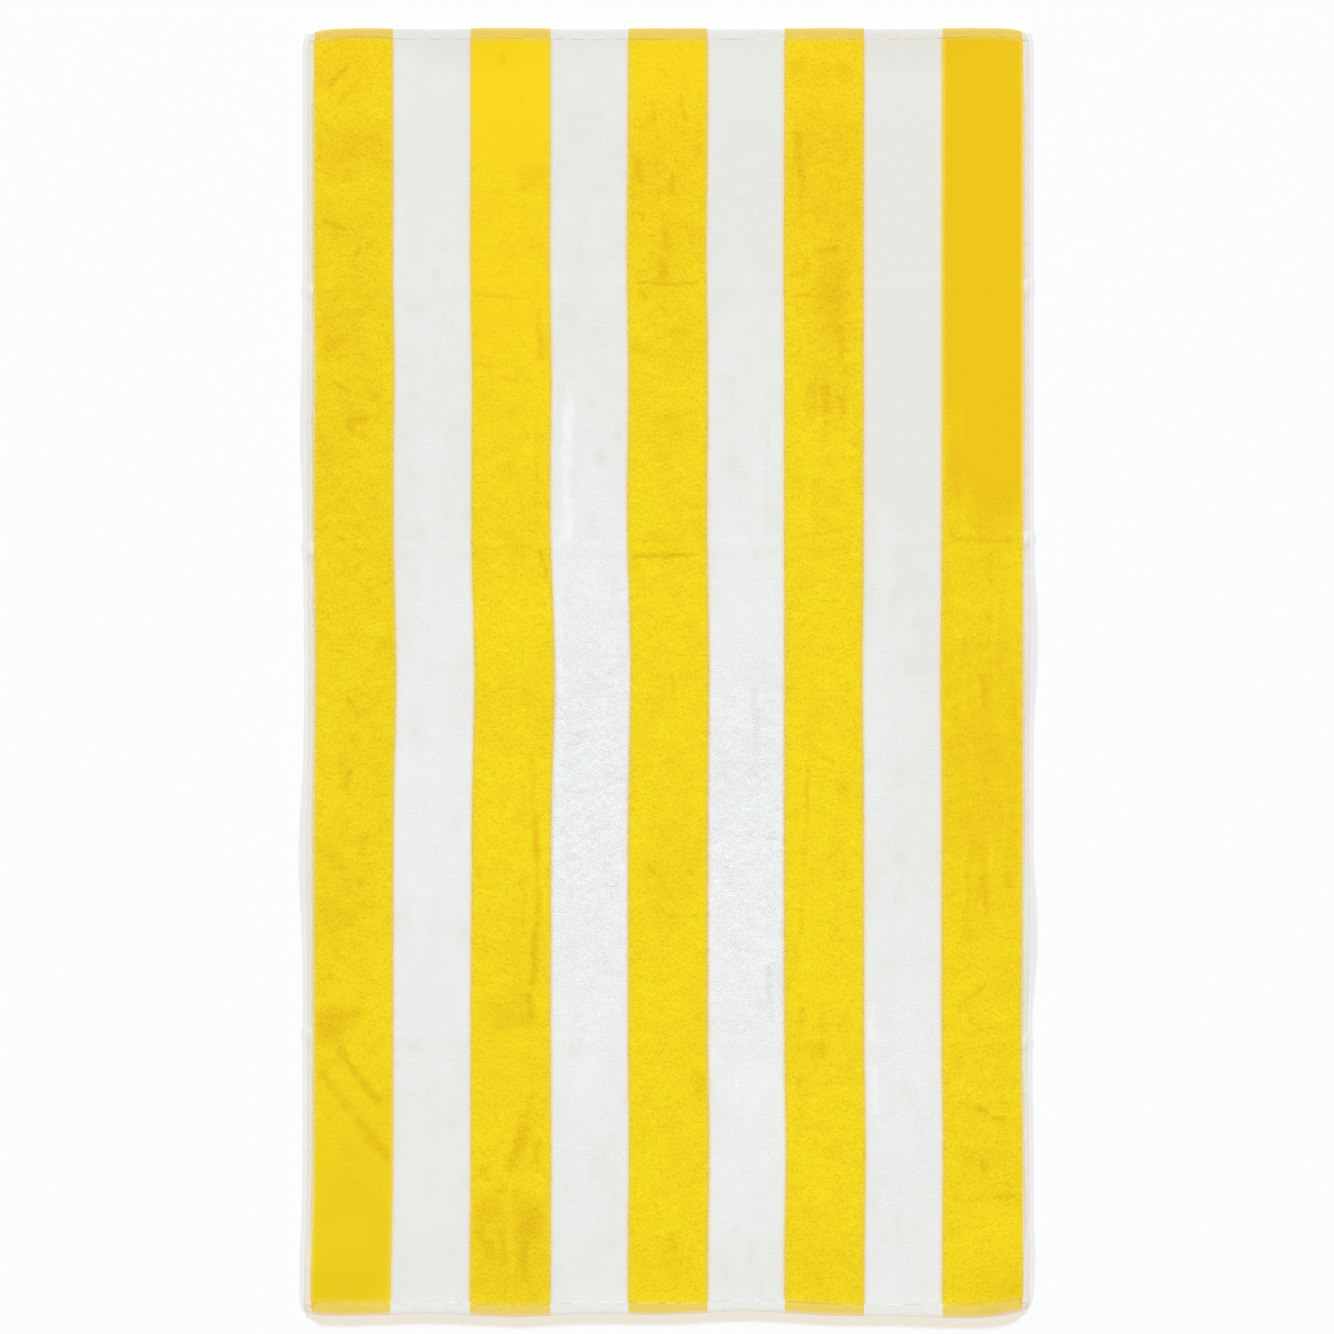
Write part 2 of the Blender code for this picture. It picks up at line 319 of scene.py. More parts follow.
# Along the creases this deeper colour is painted crease shade.
STROKE_TINT_AND_CREASE_SHADE = 1.15  # how much deeper it makes the colour
STROKE_SPREAD = 1.25  # a stroke's width on the pile, as a share of its row's
STROKE_STRENGTH = 0.8  # on average, as a share of its row's depth
STROKE_END_LENGTH = 0.010
STROKE_LIMITS = (-1.0, 1.2)

# Patches of nap, in millimetres: how much deeper the colour is where the pile lies over, how much
# warmer, how far the patch calms the grain (less than 0: makes it coarser), and how strong its
# streaks are.
PATCH_COLUMNS = ("centre_x", "centre_y", "reach_x", "reach_y", "depth", "warmth", "calm", "streak")
YELLOW_PATCHES = (
    (-392, 400, 140, 480, 0.28, 0.0, 0.0, 0.0),
    (-392, 652, 110, 50, 0.42, 0.3, 0.0, 0.0),
    (-392, 770, 120, 100, 0.15, 1.0, 0.0, 0.0),
    (-392, -700, 120, 130, 0.08, 0.0, 0.0, 0.0),
    (-410, 420, 40, 45, 0.30, 0.0, 0.0, 0.0),
    (-390, -310, 70, 60, 0.15, 0.0, 0.0, 0.0),
    (-418, -438, 36, 38, 0.85, -0.4, 0.0, 0.0),
    (-392, -740, 140, 360, 0.50, -1.2, 1.0, 0.0),
    (-392, -120, 120, 420, 0.14, -0.4, 0.0, 0.0),
    (-196, 780, 120, 200, 0.12, 1.0, 2.0, 0.0),
    (-196, 500, 120, 330, 0.10, 0.7, 0.5, 0.0),
    (-196, -500, 120, 100, 0.15, 0.0, 0.2, 0.0),
    (-168, 618, 30, 24, 0.35, 0.0, 0.0, 0.0),
    (-206, -425, 46, 44, 0.40, -0.3, 0.0, 0.0),
    (-180, -350, 50, 130, 0.16, -0.3, 0.0, 0.0),
    (-230, -669, 28, 28, 0.50, 0.0, 0.0, 0.0),
    (-172, -682, 28, 40, 0.70, 0.0, 0.0, 0.0),
    (-196, -740, 90, 150, 0.32, -0.6, 0.0, 0.0),
    (-196, -200, 120, 300, -0.10, 0.0, 0.0, 0.0),
    (0, 780, 120, 160, 0.00, 1.1, 0.3, 0.0),
    (0, 600, 90, 170, 0.32, 0.7, 0.0, 0.04),
    (4, 440, 60, 120, 0.18, 0.0, 0.0, 0.0),
    (10, 306, 34, 30, 0.28, 0.0, 0.0, 0.0),
    (-5, -250, 48, 90, 0.28, 0.0, 0.0, 0.0),
    (6, -730, 32, 36, 0.26, 0.0, 0.0, 0.0),
    (0, -650, 90, 200, -0.06, -0.1, 0.0, 0.0),
    (196, 790, 120, 140, -0.15, 1.0, 0.0, 0.0),
    (196, -380, 120, 400, -0.10, 0.0, 0.0, 0.0),
    (190, 745, 70, 26, 0.25, 0.0, 0.0, 0.0),
    (204, 600, 100, 230, 0.36, 0.8, 0.0, 0.06),
    (212, 493, 30, 30, 0.45, 0.0, 0.0, 0.0),
    (202, 462, 36, 28, 0.45, 0.0, 0.0, 0.0),
    (215, 430, 40, 60, 0.40, 0.0, 0.0, 0.0),
    (205, 350, 50, 110, 0.22, 0.0, 0.0, 0.10),
    (218, -146, 16, 20, 0.55, 0.0, 0.0, 0.0),
    (176, -470, 50, 100, 0.20, 0.0, 0.0, 0.0),
    (210, -750, 80, 100, 0.14, -0.1, 0.0, 0.0),
    (430, 720, 175, 600, 2.20, 0.0, 3.2, 0.0),
    (396, 330, 150, 200, 0.55, 0.0, 0.5, 0.10),
    (400, 240, 100, 100, 0.55, 0.0, 0.2, 0.08),
    (400, -90, 120, 340, 0.46, 0.0, 0.3, 0.09),
    (388, -88, 60, 50, 0.12, 0.0, 0.0, 0.0),
    (408, -172, 26, 32, 0.20, 0.0, 0.0, 0.0),
    (398, -240, 80, 90, 0.25, 0.0, 0.0, 0.10),
    (400, -600, 80, 200, 0.12, -0.2, 0.0, 0.0),
)
# In the white stripes the patches mostly paint light: below 0 their depth lightens the white into a
# painted pool of light, brightest about the middle of the cloth, and the full depth that they leave
# toward the ends is painted shade. Calm and streak set the grain.
WHITE_PATCHES_OF_PAINTED_LIGHT = (
    (-294, -180, 170, 640, -0.45, 0.0, -0.2, 0.0),
    (-294, 460, 170, 260, -0.18, 0.0, 0.0, 0.0),
    (-294, 680, 160, 260, 0.00, 0.0, 0.5, 0.0),
    (-294, -700, 160, 200, -0.08, 0.0, 0.6, 0.0),
    (-98, -760, 170, 140, -0.16, 0.0, 0.0, 0.0),
    (98, -760, 170, 140, -0.10, 0.0, 0.0, 0.0),
    (294, -780, 170, 160, -0.20, 0.0, 0.0, 0.0),
    (-98, -180, 170, 680, -0.88, 0.0, -0.9, 0.0),
    (-98, 500, 170, 300, -0.18, 0.0, 0.0, 0.0),
    (-98, -150, 110, 380, -0.05, 0.0, -4.6, 0.05),
    (98, -240, 160, 640, -0.86, 0.0, -0.9, 0.0),
    (98, 330, 170, 240, -0.22, 0.0, 0.0, 0.0),
    (98, -290, 170, 160, -0.12, 0.0, 0.0, 0.0),
    (98, -680, 170, 140, -0.15, 0.0, 0.0, 0.0),
    (98, -220, 110, 330, -0.05, 0.0, -4.4, 0.05),
    (285, -490, 170, 460, -0.46, 0.0, -0.8, 0.0),
    (262, -10, 50, 260, -0.26, 0.0, -0.2, 0.0),
    (294, -20, 160, 280, -0.15, 0.0, -0.2, 0.0),
    (294, 560, 160, 480, 0.05, 1.0, 0.3, 0.0),
)

# How far the pile reaches out over a hem, by which end it is (1 top, -1 bottom) and where across.
HEM_COVER_COLUMNS = ("end", "centre_x", "reach_x", "reach")
HEM_COVERS = (
    (1, 0.000, 5.000, 0.0012),
    (1, -0.385, 0.040, 0.0033),
    (1, -0.196, 0.040, 0.0006),
    (1, 0.196, 0.040, 0.0005),
    (1, 0.392, 0.055, 0.0033),
    (-1, -0.196, 0.050, 0.0010),
    (-1, 0.000, 0.060, 0.0006),
    (-1, 0.225, 0.035, 0.0012),
    (-1, -0.392, 0.060, -0.0014),
    (-1, 0.392, 0.040, -0.0016),
    (-1, 0.050, 0.030, 0.0020),
)
HEM_COVER_RUN = 0.030  # over which the pile stretches to do so

# Chance unevenness: over what distance it is blurred each way, and how large it is. The nap's and
# the strokes' strength are shares, and the rest is in metres.
NOISE_PITCH = 0.0019  # between its points
OUTLINE_POINTS = 1601  # on each side of the cloth's outline, to find its middle
UNEVENNESS_COLUMNS = ("seed", "blur_x", "blur_y", "size")
UNEVENNESS = {
    "nap_clouds": (11, 0.008, 0.018, 0.05),
    "nap_spots": (12, 0.006, 0.010, 0.14),
    "nap_streaks": (13, 0.0022, 0.020, 1.0),
    "weave_top": (22, 0.003, 0.002, 0.00004),
    "weave_edge": (23, 0.004, 0.004, 0.00012),
    "clumps": (31, 0.0022, 0.0030, 0.00007),
    "waves": (32, 0.020, 0.026, 0.00012),
    "ragged_x": (33, 0.002, 0.0025, 0.00014),
    "ragged_y": (34, 0.0030, 0.002, 0.00035),
    "yellow_rolls": (35, 0.005, 0.006, 0.00009),
    "white_rolls": (35, 0.005, 0.006, 0.00006),
    "stroke_strength": (41, 0.004, 0.004, 0.16),
    "stroke_wander_x": (42, 0.004, 0.006, 0.0011),
    "stroke_wander_y": (43, 0.006, 0.004, 0.0011),
}
NAP_SPOTS_FROM = 0.084  # only what a spot has above this shows
DEEPEST_NAP = 1.4
COARSEST_GRAIN = 6.0

# Ground cloth, in metres.
GROUND_THICKNESS = 0.0013
GROUND_CELL_X = 0.0100
GROUND_CELL_Y = 0.0090
GROUND_RIM = (0.0, 0.0002, 0.0006, 0.0014)
GROUND_INSET = 0.0005  # how far inside the line between selvedge and pile it ends

# Hems and selvedges. A rim rounds a band over, by distance from its edge and share of its height.
RIM_COLUMNS = ("from_edge", "share")
OUTER_RIM = ((0.0, 0.35), (0.0001, 0.62), (0.0003, 0.84), (0.0007, 0.96), (0.0014, 1.0))
INNER_RIM = ((0.0003, 1.0), (0.0001, 0.97), (0.0, 0.50))
BAND_CAP = (0.0, 0.00015, 0.0004, 0.0007, 0.001)  # its first rings, from either end
BAND_CAP_REACH = 0.0009
BAND_CAP_SHARE = 0.3  # height at the very end
BAND_MIDDLE = (0.35, 0.60)  # two level columns, as shares of its depth
BAND_EDGE_RUN = 0.001  # how high its edges count in its map
HEM_GRID = (0.0011, 5)  # length of its cells, and strips in its map
SELVEDGE_GRID = (0.0016, 9)
HEM_UNDER_PILE = 0.0010  # how far a hem goes on under the pile
SELVEDGE_UNDER_PILE = 0.0012
SELVEDGE_UNDER_HEM = 0.0035
SELVEDGE_SUNK = 0.00015  # how much lower it lies there
SELVEDGE_SUNK_BEFORE = 0.0002
SELVEDGE_SUNK_RUN = 0.0005
HEM_THINS_OVER = 0.002  # a hem begins to thicken this far before the selvedge's inner edge
HEM_THINS_RUN = 0.010
RIB_HEIGHT = 0.022  # share of a band's thickness
RIB_WAVE = 0.00008  # how far a rib's end stands out at a band's outer edge
EDGE_WAVE_REACH = 0.003
TROUGH_COLUMNS = (-0.0012, -0.0005, 0.0, 0.0005, 0.0012)
TROUGH_DEPTH = 0.00003
TROUGH_REACH = 0.0011

# Hem stitches.
STITCH_INSET = 0.0035  # from a hem's inner edge
STITCH_PITCH = 0.0031
STITCH_LENGTH = 0.0027
STITCH_RISE = 0.00040
STITCH_SUNK = 0.00015
STITCH_MARGIN = 0.006  # left free at both sides together
THREAD_RADIUS = 0.00025
THREAD_POINTS = 6
THREAD_END = [0, 1, 2, 3, 0, 3, 4, 5]  # the two faces that close its ring of points
STITCH_RINGS = 6

# Maps of long pieces, as shares of the square that they fill.
MAP_MARGIN = 0.01
MAP_STRIP_GAP = 0.03  # as a share of a strip
MAP_TALL = 0.98
MAP_TALL_BELOW_ENDS = 0.92
MAP_END_ROW = (0.95, 0.98)
MAP_LEAST_STEP = 0.0003  # in metres

# Pile.
PILE_CELL = 0.00217
PILE_SEED = 100
TUFT_HEIGHT = 0.00007
CALM_HEIGHT = 0.2  # what calm nap leaves of the chance heights
SHOULDER_COLUMNS = (0.0, 0.0004, 0.0009, 0.0016, 0.0025)
SHOULDER_REACH = 0.0016
PILE_PARTING = 0.0003  # how deep the pile parts between two stripes
PILE_OUTER_REACH = 0.0046  # how broadly it rounds over beside a selvedge
PILE_OUTER_HEIGHT = 0.0004  # what is left of it there
PILE_LOWEST = 0.0003
PILE_SKIRT_DEPTH = 0.0003  # how far its edges reach down into the ground
PILE_TAPER_LENGTH = 0.110  # over which it comes down to the hems
PILE_OVER_HEM = 0.00003  # how far above the hem it ends
PILE_EVENING = 0.85  # how far the pile stands shorter on a crease, as a share of its height
PILE_EVENING_RUN = 0.015
RAGGED_REACH = 0.004  # how far in from its edges the pile is ragged

# How yellow and white pile differ. Depth is the colour's depth apart from the patches. Heights
# and pressing are shares of the pile's chance heights and of the strokes' depth. The border's
# tint runs from one distance to another, from one strength to another.
# gap is the colour of the shade painted between tufts, and gap_depth is how strong that shade gets.
PILE_KINDS = {
    "yellow": {
        "patches": YELLOW_PATCHES,
        "depth": 0.13,
        "heights": 1.0,
        "pressing": 1.0,
        "warm": (1.04, 0.98, 0.85, 1.0),
        "cool": (0.95, 0.985, 1.25, 1.0),
        "border_reach": (0.0018, 0.0050, 0.95, 0.0),
        "gap": (0.86, 0.85, 0.83, 1.0),
        "gap_depth": 0.75,
        "tuft_size": 0.0032,
        "mottle": 1.0,
    },
    "white": {
        "patches": WHITE_PATCHES_OF_PAINTED_LIGHT,
        "depth": 1.00,
        "heights": 0.28,
        "pressing": 0.4,
        "warm": (1.01, 0.988, 0.985, 1.0),
        "cool": (1.0, 1.0, 1.0, 1.0),
        "border_reach": (0.0, 0.0050, 0.88, 0.0),
        "gap": (0.85, 0.85, 0.85, 1.0),
        "gap_depth": 0.22,
        "tuft_size": 0.0020,
        "mottle": 0.4,
    },
}

# Finishes: how matt and fuzzy a material is, and how strong and deep its bump is.
FINISH_COLUMNS = ("roughness", "sheen", "bump", "bump_depth")
FINISHES = {
    "yellow_pile": (0.95, 0.06, 0.46, 0.0005),
    "white_pile": (0.95, 0.06, 0.19, 0.0005),
    "flat_weave": (0.85, 0.08, 0.40, 0.00012),
    "looped_back": (0.95, 0.12, 0.60, 0.0006),
    "hem_thread": (0.80, 0.10, 0.30, 0.0001),
    "pale_floor": (0.90, 0.00, 0.02, 0.0002),
}
SPECULAR = 0.2
SHEEN_ROUGHNESS = 0.5
NAP_NOISE_COLUMNS = ("size", "detail", "roughness", "amount")
NAP_STREAKS = (0.018, 4.0, 0.6, 0.35)
NAP_FLECKS = (0.006, 3.0, 0.6, 0.20)
NAP_TURN = 0.25  # how the streaks are turned, and drawn out along the cloth
NAP_STRETCH = (1.0, 0.55, 1.0)
PILE_BY_HEM = (0.0, 0.0060, 0.5, 0.0)  # the pile takes on the hem's colour, as border_reach
FIBRE_SIZE = 0.0012
RIB_PITCH = 0.0020
PICKS_TO_RIBS = 1.7  # how many times finer the crossing ridges are
PICK_HEIGHT = 0.45
BACK_LOOP_SIZE = 0.0032
# Painted shade in the grooves between the weave's ribs.
SHADE_BETWEEN_RIBS = (0.92, 0.91, 0.88, 1.0)
# Painted shade between the back's loops.
SHADE_BETWEEN_LOOPS = (0.80, 0.78, 0.72, 1.0)
# Painted shade between a thread's plies.
SHADE_BETWEEN_PLIES = (0.95, 0.95, 0.95, 1.0)
HEM_OUTERMOST = (1.12, 1.08, 1.05, 1.0)  # a hem's very edge, where it catches the light
# Painted shade on the cloth's very edge along its sides, against the highlight that the side lights give
# it.
PAINTED_SIDE_SHADE = (0.84, 0.84, 0.82, 1.0)  # the cloth's very edge along its sides
TOP_EDGE_SHARE = 0.25  # how much of the bottom hem's light edge the top hem has
SELVEDGE_OUTER_WIDTH = 0.0040  # up to which it has none of the inner selvedge's colour
HEM_EDGE_WIDTH = 0.0055
HEM_OUTERMOST_WIDTH = 0.0016
PAINTED_SIDE_SHADE_WIDTH = 0.0010
HEM_BY_PILE_WIDTH = 0.0065
HEM_BY_PILE = 0.5  # how much of the pile's colour a yellow hem has beside it

LIGHT_COLUMNS = ("name", "share", "from_level", "turn", "spread")
LIGHTS = (
    ("key_light", "key", 10.5, 0.0, 4.0),
    ("left_light", "side", 18.0, 90.0, 6.0),
    ("right_light", "side", 18.0, -90.0, 6.0),
)
FLOOR_HALF_WIDTH = 8.0
FLOOR_BELOW = 0.00002  # how far the floor lies under the towel
FLOOR_TOOTH = 60.0
SENSOR_WIDTH = 36.0


# ---------------------------------------------------------------------------------------------
# Shapes
# ---------------------------------------------------------------------------------------------


def rows(columns, table):
    """Each row of a table, as its columns' names and values."""
    return [dict(zip(columns, row)) for row in table]


def rows_in_mm(columns, table, lengths):
    """Each row of a table whose first columns are lengths in millimetres, with them in metres."""
    return rows(columns, [[value / 1000 for value in row[:lengths]] + [*row[lengths:]] for row in table])


def eased(share):
    """0 up to 0, 1 from 1 on, and a smooth rise between: three squares less two cubes."""
    share = np.clip(share, 0.0, 1.0)
    return share * share * (3.0 - 2.0 * share)


def hump(distance):
    """One less the distance squared, squared, and 0 from distance 1 on."""
    return np.clip(1.0 - distance * distance, 0.0, None) ** 2


def rounded(distance, reach):
    """A quarter circle's height, 0 to 1, over a distance of 0 to reach from an edge."""
    return np.sqrt(1.0 - np.clip(1.0 - distance / reach, 0.0, 1.0) ** 2)


def ridge(x, y, row, end_length):
    """A hump across the line from start to end, bowed as a parabola, that dies out at both ends."""
    run_x = row["end_x"] - row["start_x"]
    run_y = row["end_y"] - row["start_y"]
    length = math.hypot(run_x, run_y)
    along = ((x - row["start_x"]) * run_x + (y - row["start_y"]) * run_y) / length**2
    aside = ((y - row["start_y"]) * run_x - (x - row["start_x"]) * run_y) / length
    aside = aside - row["bow"] * 4.0 * along * (1.0 - along)
    ends = eased(np.minimum(along, 1.0 - along) * length / end_length)
    return row["height"] * ends * hump(aside / row["half_width"])


def spot(x, y, row):
    """A hump over an ellipse about the row's centre, 1 high."""
    across = (x - row["centre_x"]) / row["reach_x"]
    along = (y - row["centre_y"]) / row["reach_y"]
    return hump(np.hypot(across, along))


class Cloth:
    """Where each point of the flat cloth lies, and the chance unevenness that all its pieces share."""

    def __init__(self, sizes):
        """Shifts the cloth so that the middle of its outline is the middle of the solid's box."""
        self.half_width = sizes.width / 2
        self.half_length = sizes.length / 2
        edge = np.linspace(-1.0, 1.0, OUTLINE_POINTS)
        ones = np.ones_like(edge)
        outline_x = np.concatenate([edge, edge, ones, -ones]) * self.half_width
        outline_y = np.concatenate([ones, -ones, edge, edge]) * self.half_length
        self.shift = (0.0, 0.0)
        x, y = self.spread(outline_x, outline_y)
        middle_x = (CAD_BOX[0][0] + CAD_BOX[1][0]) / 2
        middle_y = (CAD_BOX[0][1] + CAD_BOX[1][1]) / 2
        self.shift = (middle_x - (x.min() + x.max()) / 2, middle_y - (y.min() + y.max()) / 2)
        self.fields = {}

    def inward(self, x, y):
        """How far points lie in from the nearer side and from the nearer end."""
        return self.half_width - np.abs(x), self.half_length - np.abs(y)

    def nearness_to_corner(self, x, y):
        """1 at a corner, falling to 0 at CORNER_REACH from its side or its end."""
        from_side, from_end = self.inward(x, y)
        near_side = np.clip(1.0 - from_side / CORNER_REACH, 0.0, 1.0)
        near_end = np.clip(1.0 - from_end / CORNER_REACH, 0.0, 1.0)
        return (near_side * near_end) ** 2

    def folds(self, x, y):
        """Height of the creases: their ridges, added up."""
        creases = rows(LINE_COLUMNS, CROSS_CREASES + LONG_CREASES + SLANTING_CREASES)
        return sum(ridge(x, y, row, LINE_END_LENGTH) for row in creases)

    def lift(self, x, y):
        """Height of the underside: creases, cockles and lifted edges, added up."""
        cockles = sum(row["height"] * spot(x, y, row) for row in rows(COCKLE_COLUMNS, COCKLES))
        from_edge = np.minimum(*self.inward(x, y))
        edges = EDGE_LIFT * eased(1.0 - from_edge / EDGE_LIFT_WIDTH)
        return self.folds(x, y) + cockles + edges * (1.0 - self.nearness_to_corner(x, y))

    def spread(self, x, y):
        """Flat place to drawn place: bulged ends, drawn-in corners and a bell curve for each pull."""
        from_end = self.inward(x, y)[1]
        bulge = np.where(y > 0, TOP_END_BULGE, BOTTOM_END_BULGE)
        bulge = bulge * np.cos(2.0 * math.pi * x / STRIPE_PITCH)
        bulge = bulge * eased(1.0 - from_end / END_BULGE_REACH)
        corner = CORNER_DRAWN_IN * self.nearness_to_corner(x, y)
        moved_x = x - np.sign(x) * corner + self.shift[0]
        moved_y = y + np.sign(y) * (bulge - corner) + self.shift[1]
        for pull in rows(PULL_COLUMNS, PULLS):
            across = (x - pull["centre_x"]) / pull["reach_x"]
            along = (y - pull["centre_y"]) / pull["reach_y"]
            share = np.exp(-(across**2) - along**2)
            moved_x = moved_x + pull["shift_x"] * share
            moved_y = moved_y + pull["shift_y"] * share
        return moved_x, moved_y

    def uneven(self, x, y, name):
        """Chance unevenness at each point: white noise over the whole cloth, blurred by a bell curve."""
        row = dict(zip(UNEVENNESS_COLUMNS, UNEVENNESS[name]))
        key = (row["seed"], row["blur_x"], row["blur_y"])
        if key not in self.fields:
            shape = [int(2 * half / NOISE_PITCH) + 2 for half in (self.half_width, self.half_length)]
            noise = np.random.default_rng(row["seed"]).standard_normal(shape)
            waves = [np.fft.fftfreq(count, NOISE_PITCH) for count in shape]
            blur = (waves[0][:, None] * row["blur_x"]) ** 2 + (waves[1][None, :] * row["blur_y"]) ** 2
            noise = np.fft.ifft2(np.fft.fft2(noise) * np.exp(-2.0 * math.pi**2 * blur)).real
            self.fields[key] = (noise - noise.mean()) / noise.std()
        field = self.fields[key]
        at_x = np.clip((x + self.half_width) / NOISE_PITCH, 0, field.shape[0] - 1.001)
        at_y = np.clip((y + self.half_length) / NOISE_PITCH, 0, field.shape[1] - 1.001)
        i, j = at_x.astype(int), at_y.astype(int)
        f, g = at_x - i, at_y - j
        near = field[i, j] * (1 - f) + field[i + 1, j] * f
        far = field[i, j + 1] * (1 - f) + field[i + 1, j + 1] * f
        return row["size"] * (near * (1 - g) + far * g)

    def hem_cover(self, x, y):
        """How far the pile reaches out over the hem at y's end: a bell curve for each row, added up."""
        cover = 0.0
        for row in rows(HEM_COVER_COLUMNS, HEM_COVERS):
            share = np.exp(-(((x - row["centre_x"]) / row["reach_x"]) ** 2))
            cover = cover + row["reach"] * share * (np.sign(y) == row["end"])
        return cover

    def pressed(self, x, y):
        """How far the pile is pressed down, 0 to 1: the strokes' ridges, made uneven by chance."""
        wander_x = x + self.uneven(x, y, "stroke_wander_x")
        wander_y = y + self.uneven(x, y, "stroke_wander_y")
        strokes = np.zeros_like(x)
        left, right = x.min(), x.max()
        for row in rows_in_mm(STROKE_COLUMNS, STROKES, 5):
            if min(row["start_x"], row["end_x"]) < right and max(row["start_x"], row["end_x"]) > left:
                row.update(bow=0.0, height=row["depth"])
                row["half_width"] *= STROKE_SPREAD
                strokes += ridge(wander_x, wander_y, row, STROKE_END_LENGTH)
        strength = STROKE_STRENGTH + self.uneven(x, y, "stroke_strength")
        return np.clip(strokes * strength, *STROKE_LIMITS)

    def nap(self, x, y, kind):
        """Depth of colour, warmth and grain of the pile at each point.

        Depth is the patches' sum with chance clouds, chance spots, chance streaks and the strokes,
        and grain is 1 less what the patches calm.
        """
        found = [(row, spot(x, y, row)) for row in rows_in_mm(PATCH_COLUMNS, kind["patches"], 4)]
        depth, warmth, calm, streak = (
            sum(row[column] * share for row, share in found)
            for column in ("depth", "warmth", "calm", "streak")
        )
        grain = np.clip(1.0 - calm, 0.0, COARSEST_GRAIN)
        chance = self.uneven(x, y, "nap_clouds")
        chance = chance + np.maximum(self.uneven(x, y, "nap_spots") - NAP_SPOTS_FROM, 0.0)
        chance = chance * np.minimum(grain, 1.0) + streak * self.uneven(x, y, "nap_streaks")
        depth = kind["depth"] + depth + chance + STROKE_TINT_AND_CREASE_SHADE * self.pressed(x, y)
        depth, warmth = np.clip(depth, 0.0, DEEPEST_NAP), np.clip(warmth, -1.0, 1.0)
        return np.stack([depth, warmth, grain], axis=-1)


# ---------------------------------------------------------------------------------------------
# Meshes
# ---------------------------------------------------------------------------------------------


def grid_lines(start, end, longest, stops=()):
    """Lines from start to end through every stop, with even cells no longer than longest."""
    marks = sorted({start, end, *stops})
    lines = [np.array([marks[0]])]
    for low, high in zip(marks, marks[1:]):
        cells = math.ceil((high - low) / longest - 1e-6)
        lines.append(np.linspace(low, high, cells + 1)[1:])
    return np.concatenate(lines)


def rimmed_lines(half, rim, longest, stops=()):
    """Lines from -half to half: those of the rim at both ends, and grid_lines between them."""
    rim = np.array(rim)
    inner = grid_lines(-half + rim[-1], half - rim[-1], longest, stops)[1:-1]
    return np.concatenate([-half + rim, inner, half - rim[::-1]])


def cell_faces(numbers):
    """Four-cornered faces of the cells of a grid, given its points' numbers."""
    corners = (numbers[:-1, :-1], numbers[1:, :-1], numbers[1:, 1:], numbers[:-1, 1:])
    return np.stack(corners, axis=-1).reshape(-1, 4)


def grid_numbers(across, along):
    """The numbers of a grid's points, row by row."""
    return np.arange(across * along).reshape(across, along)


def closed_round(numbers):
    """A grid's numbers with its first column once more at the end, so that each row is a ring."""
    return np.concatenate([numbers, numbers[:, :1]], axis=1)


def stacked(x, y, z=0.0):
    """Points as rows, from the arrays of their coordinates."""
    return np.stack(np.broadcast_arrays(x, y, z), axis=-1).reshape(-1, 3)


def add_attribute(mesh, name, values):
    """Stores one number or one vector for each point, for the materials to read."""
    values = np.asarray(values, dtype=np.float32)
    kind, field = ("FLOAT_VECTOR", "vector") if values.ndim == 2 else ("FLOAT", "value")
    mesh.attributes.new(name, kind, "POINT").data.foreach_set(field, values.ravel())


def make_piece(name, points, flat, faces, material, closed=False, strip_map=None):
    """A smooth-shaded mesh object at the origin that rides on the towel's one body.

    flat is each point's place on the flat cloth. A closed piece has its faces turned outwards.
    """
    mesh = bpy.data.meshes.new(name)
    mesh.from_pydata(points, [], faces)
    mesh.update()
    if strip_map is not None:
        layer = mesh.uv_layers.new(name="OFBake")
        layer.data.foreach_set("uv", strip_map.astype(np.float32).ravel())
    if closed:
        shape = bmesh.new()
        shape.from_mesh(mesh)
        bmesh.ops.recalc_face_normals(shape, faces=shape.faces)
        shape.to_mesh(mesh)
        shape.free()
    mesh.shade_smooth()
    mesh.materials.append(material)
    add_attribute(mesh, "flat", flat)
    piece = bpy.data.objects.new(name, mesh)
    bpy.context.scene.collection.objects.link(piece)
    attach(piece, "root")
    return piece


def running_length(lines):
    """Distance run from the first line to each line, where every step has a least length."""
    return np.concatenate([[0.0], np.cumsum(np.maximum(np.diff(lines), MAP_LEAST_STEP))])


def boxes_map(left, right, low, high):
    """The map's places of four-cornered faces, anticlockwise from the lower left."""
    corners = [(left, low), (right, low), (right, high), (left, high)]
    places = [np.stack(np.broadcast_arrays(u, v), axis=-1) for u, v in corners]
    return np.stack(places, axis=-2).reshape(-1, 4, 2)


def grid_map(across, along, strips, ends=0):
    """A map for a long grid: its length is cut into strips that lie side by side in the square.

    across and along are the distances run to each line of the grid. Each face keeps its own
    corners, so that the strips part cleanly. Faces that close the grid's ends get a row of their
    own above the strips.
    """
    cells = len(along) - 1
    strip = np.arange(cells) * strips // cells
    start = along[np.searchsorted(strip, np.arange(strips))]
    longest = np.diff(np.append(start, along[-1])).max()
    low, high = [(side - start[strip]) / longest for side in (along[:-1], along[1:])]
    share = MAP_STRIP_GAP + (1.0 - 2.0 * MAP_STRIP_GAP) * across / across[-1]
    left, right = [(strip + side) / strips for side in (share[:-1, None], share[1:, None])]
    tall = MAP_TALL_BELOW_ENDS if ends else MAP_TALL
    places = boxes_map(left, right, MAP_MARGIN + tall * low, MAP_MARGIN + tall * high)
    if not ends:
        return places
    first = (np.arange(ends) + 0.1) / ends
    return np.concatenate([places, boxes_map(first, first + 0.8 / ends, *MAP_END_ROW)])


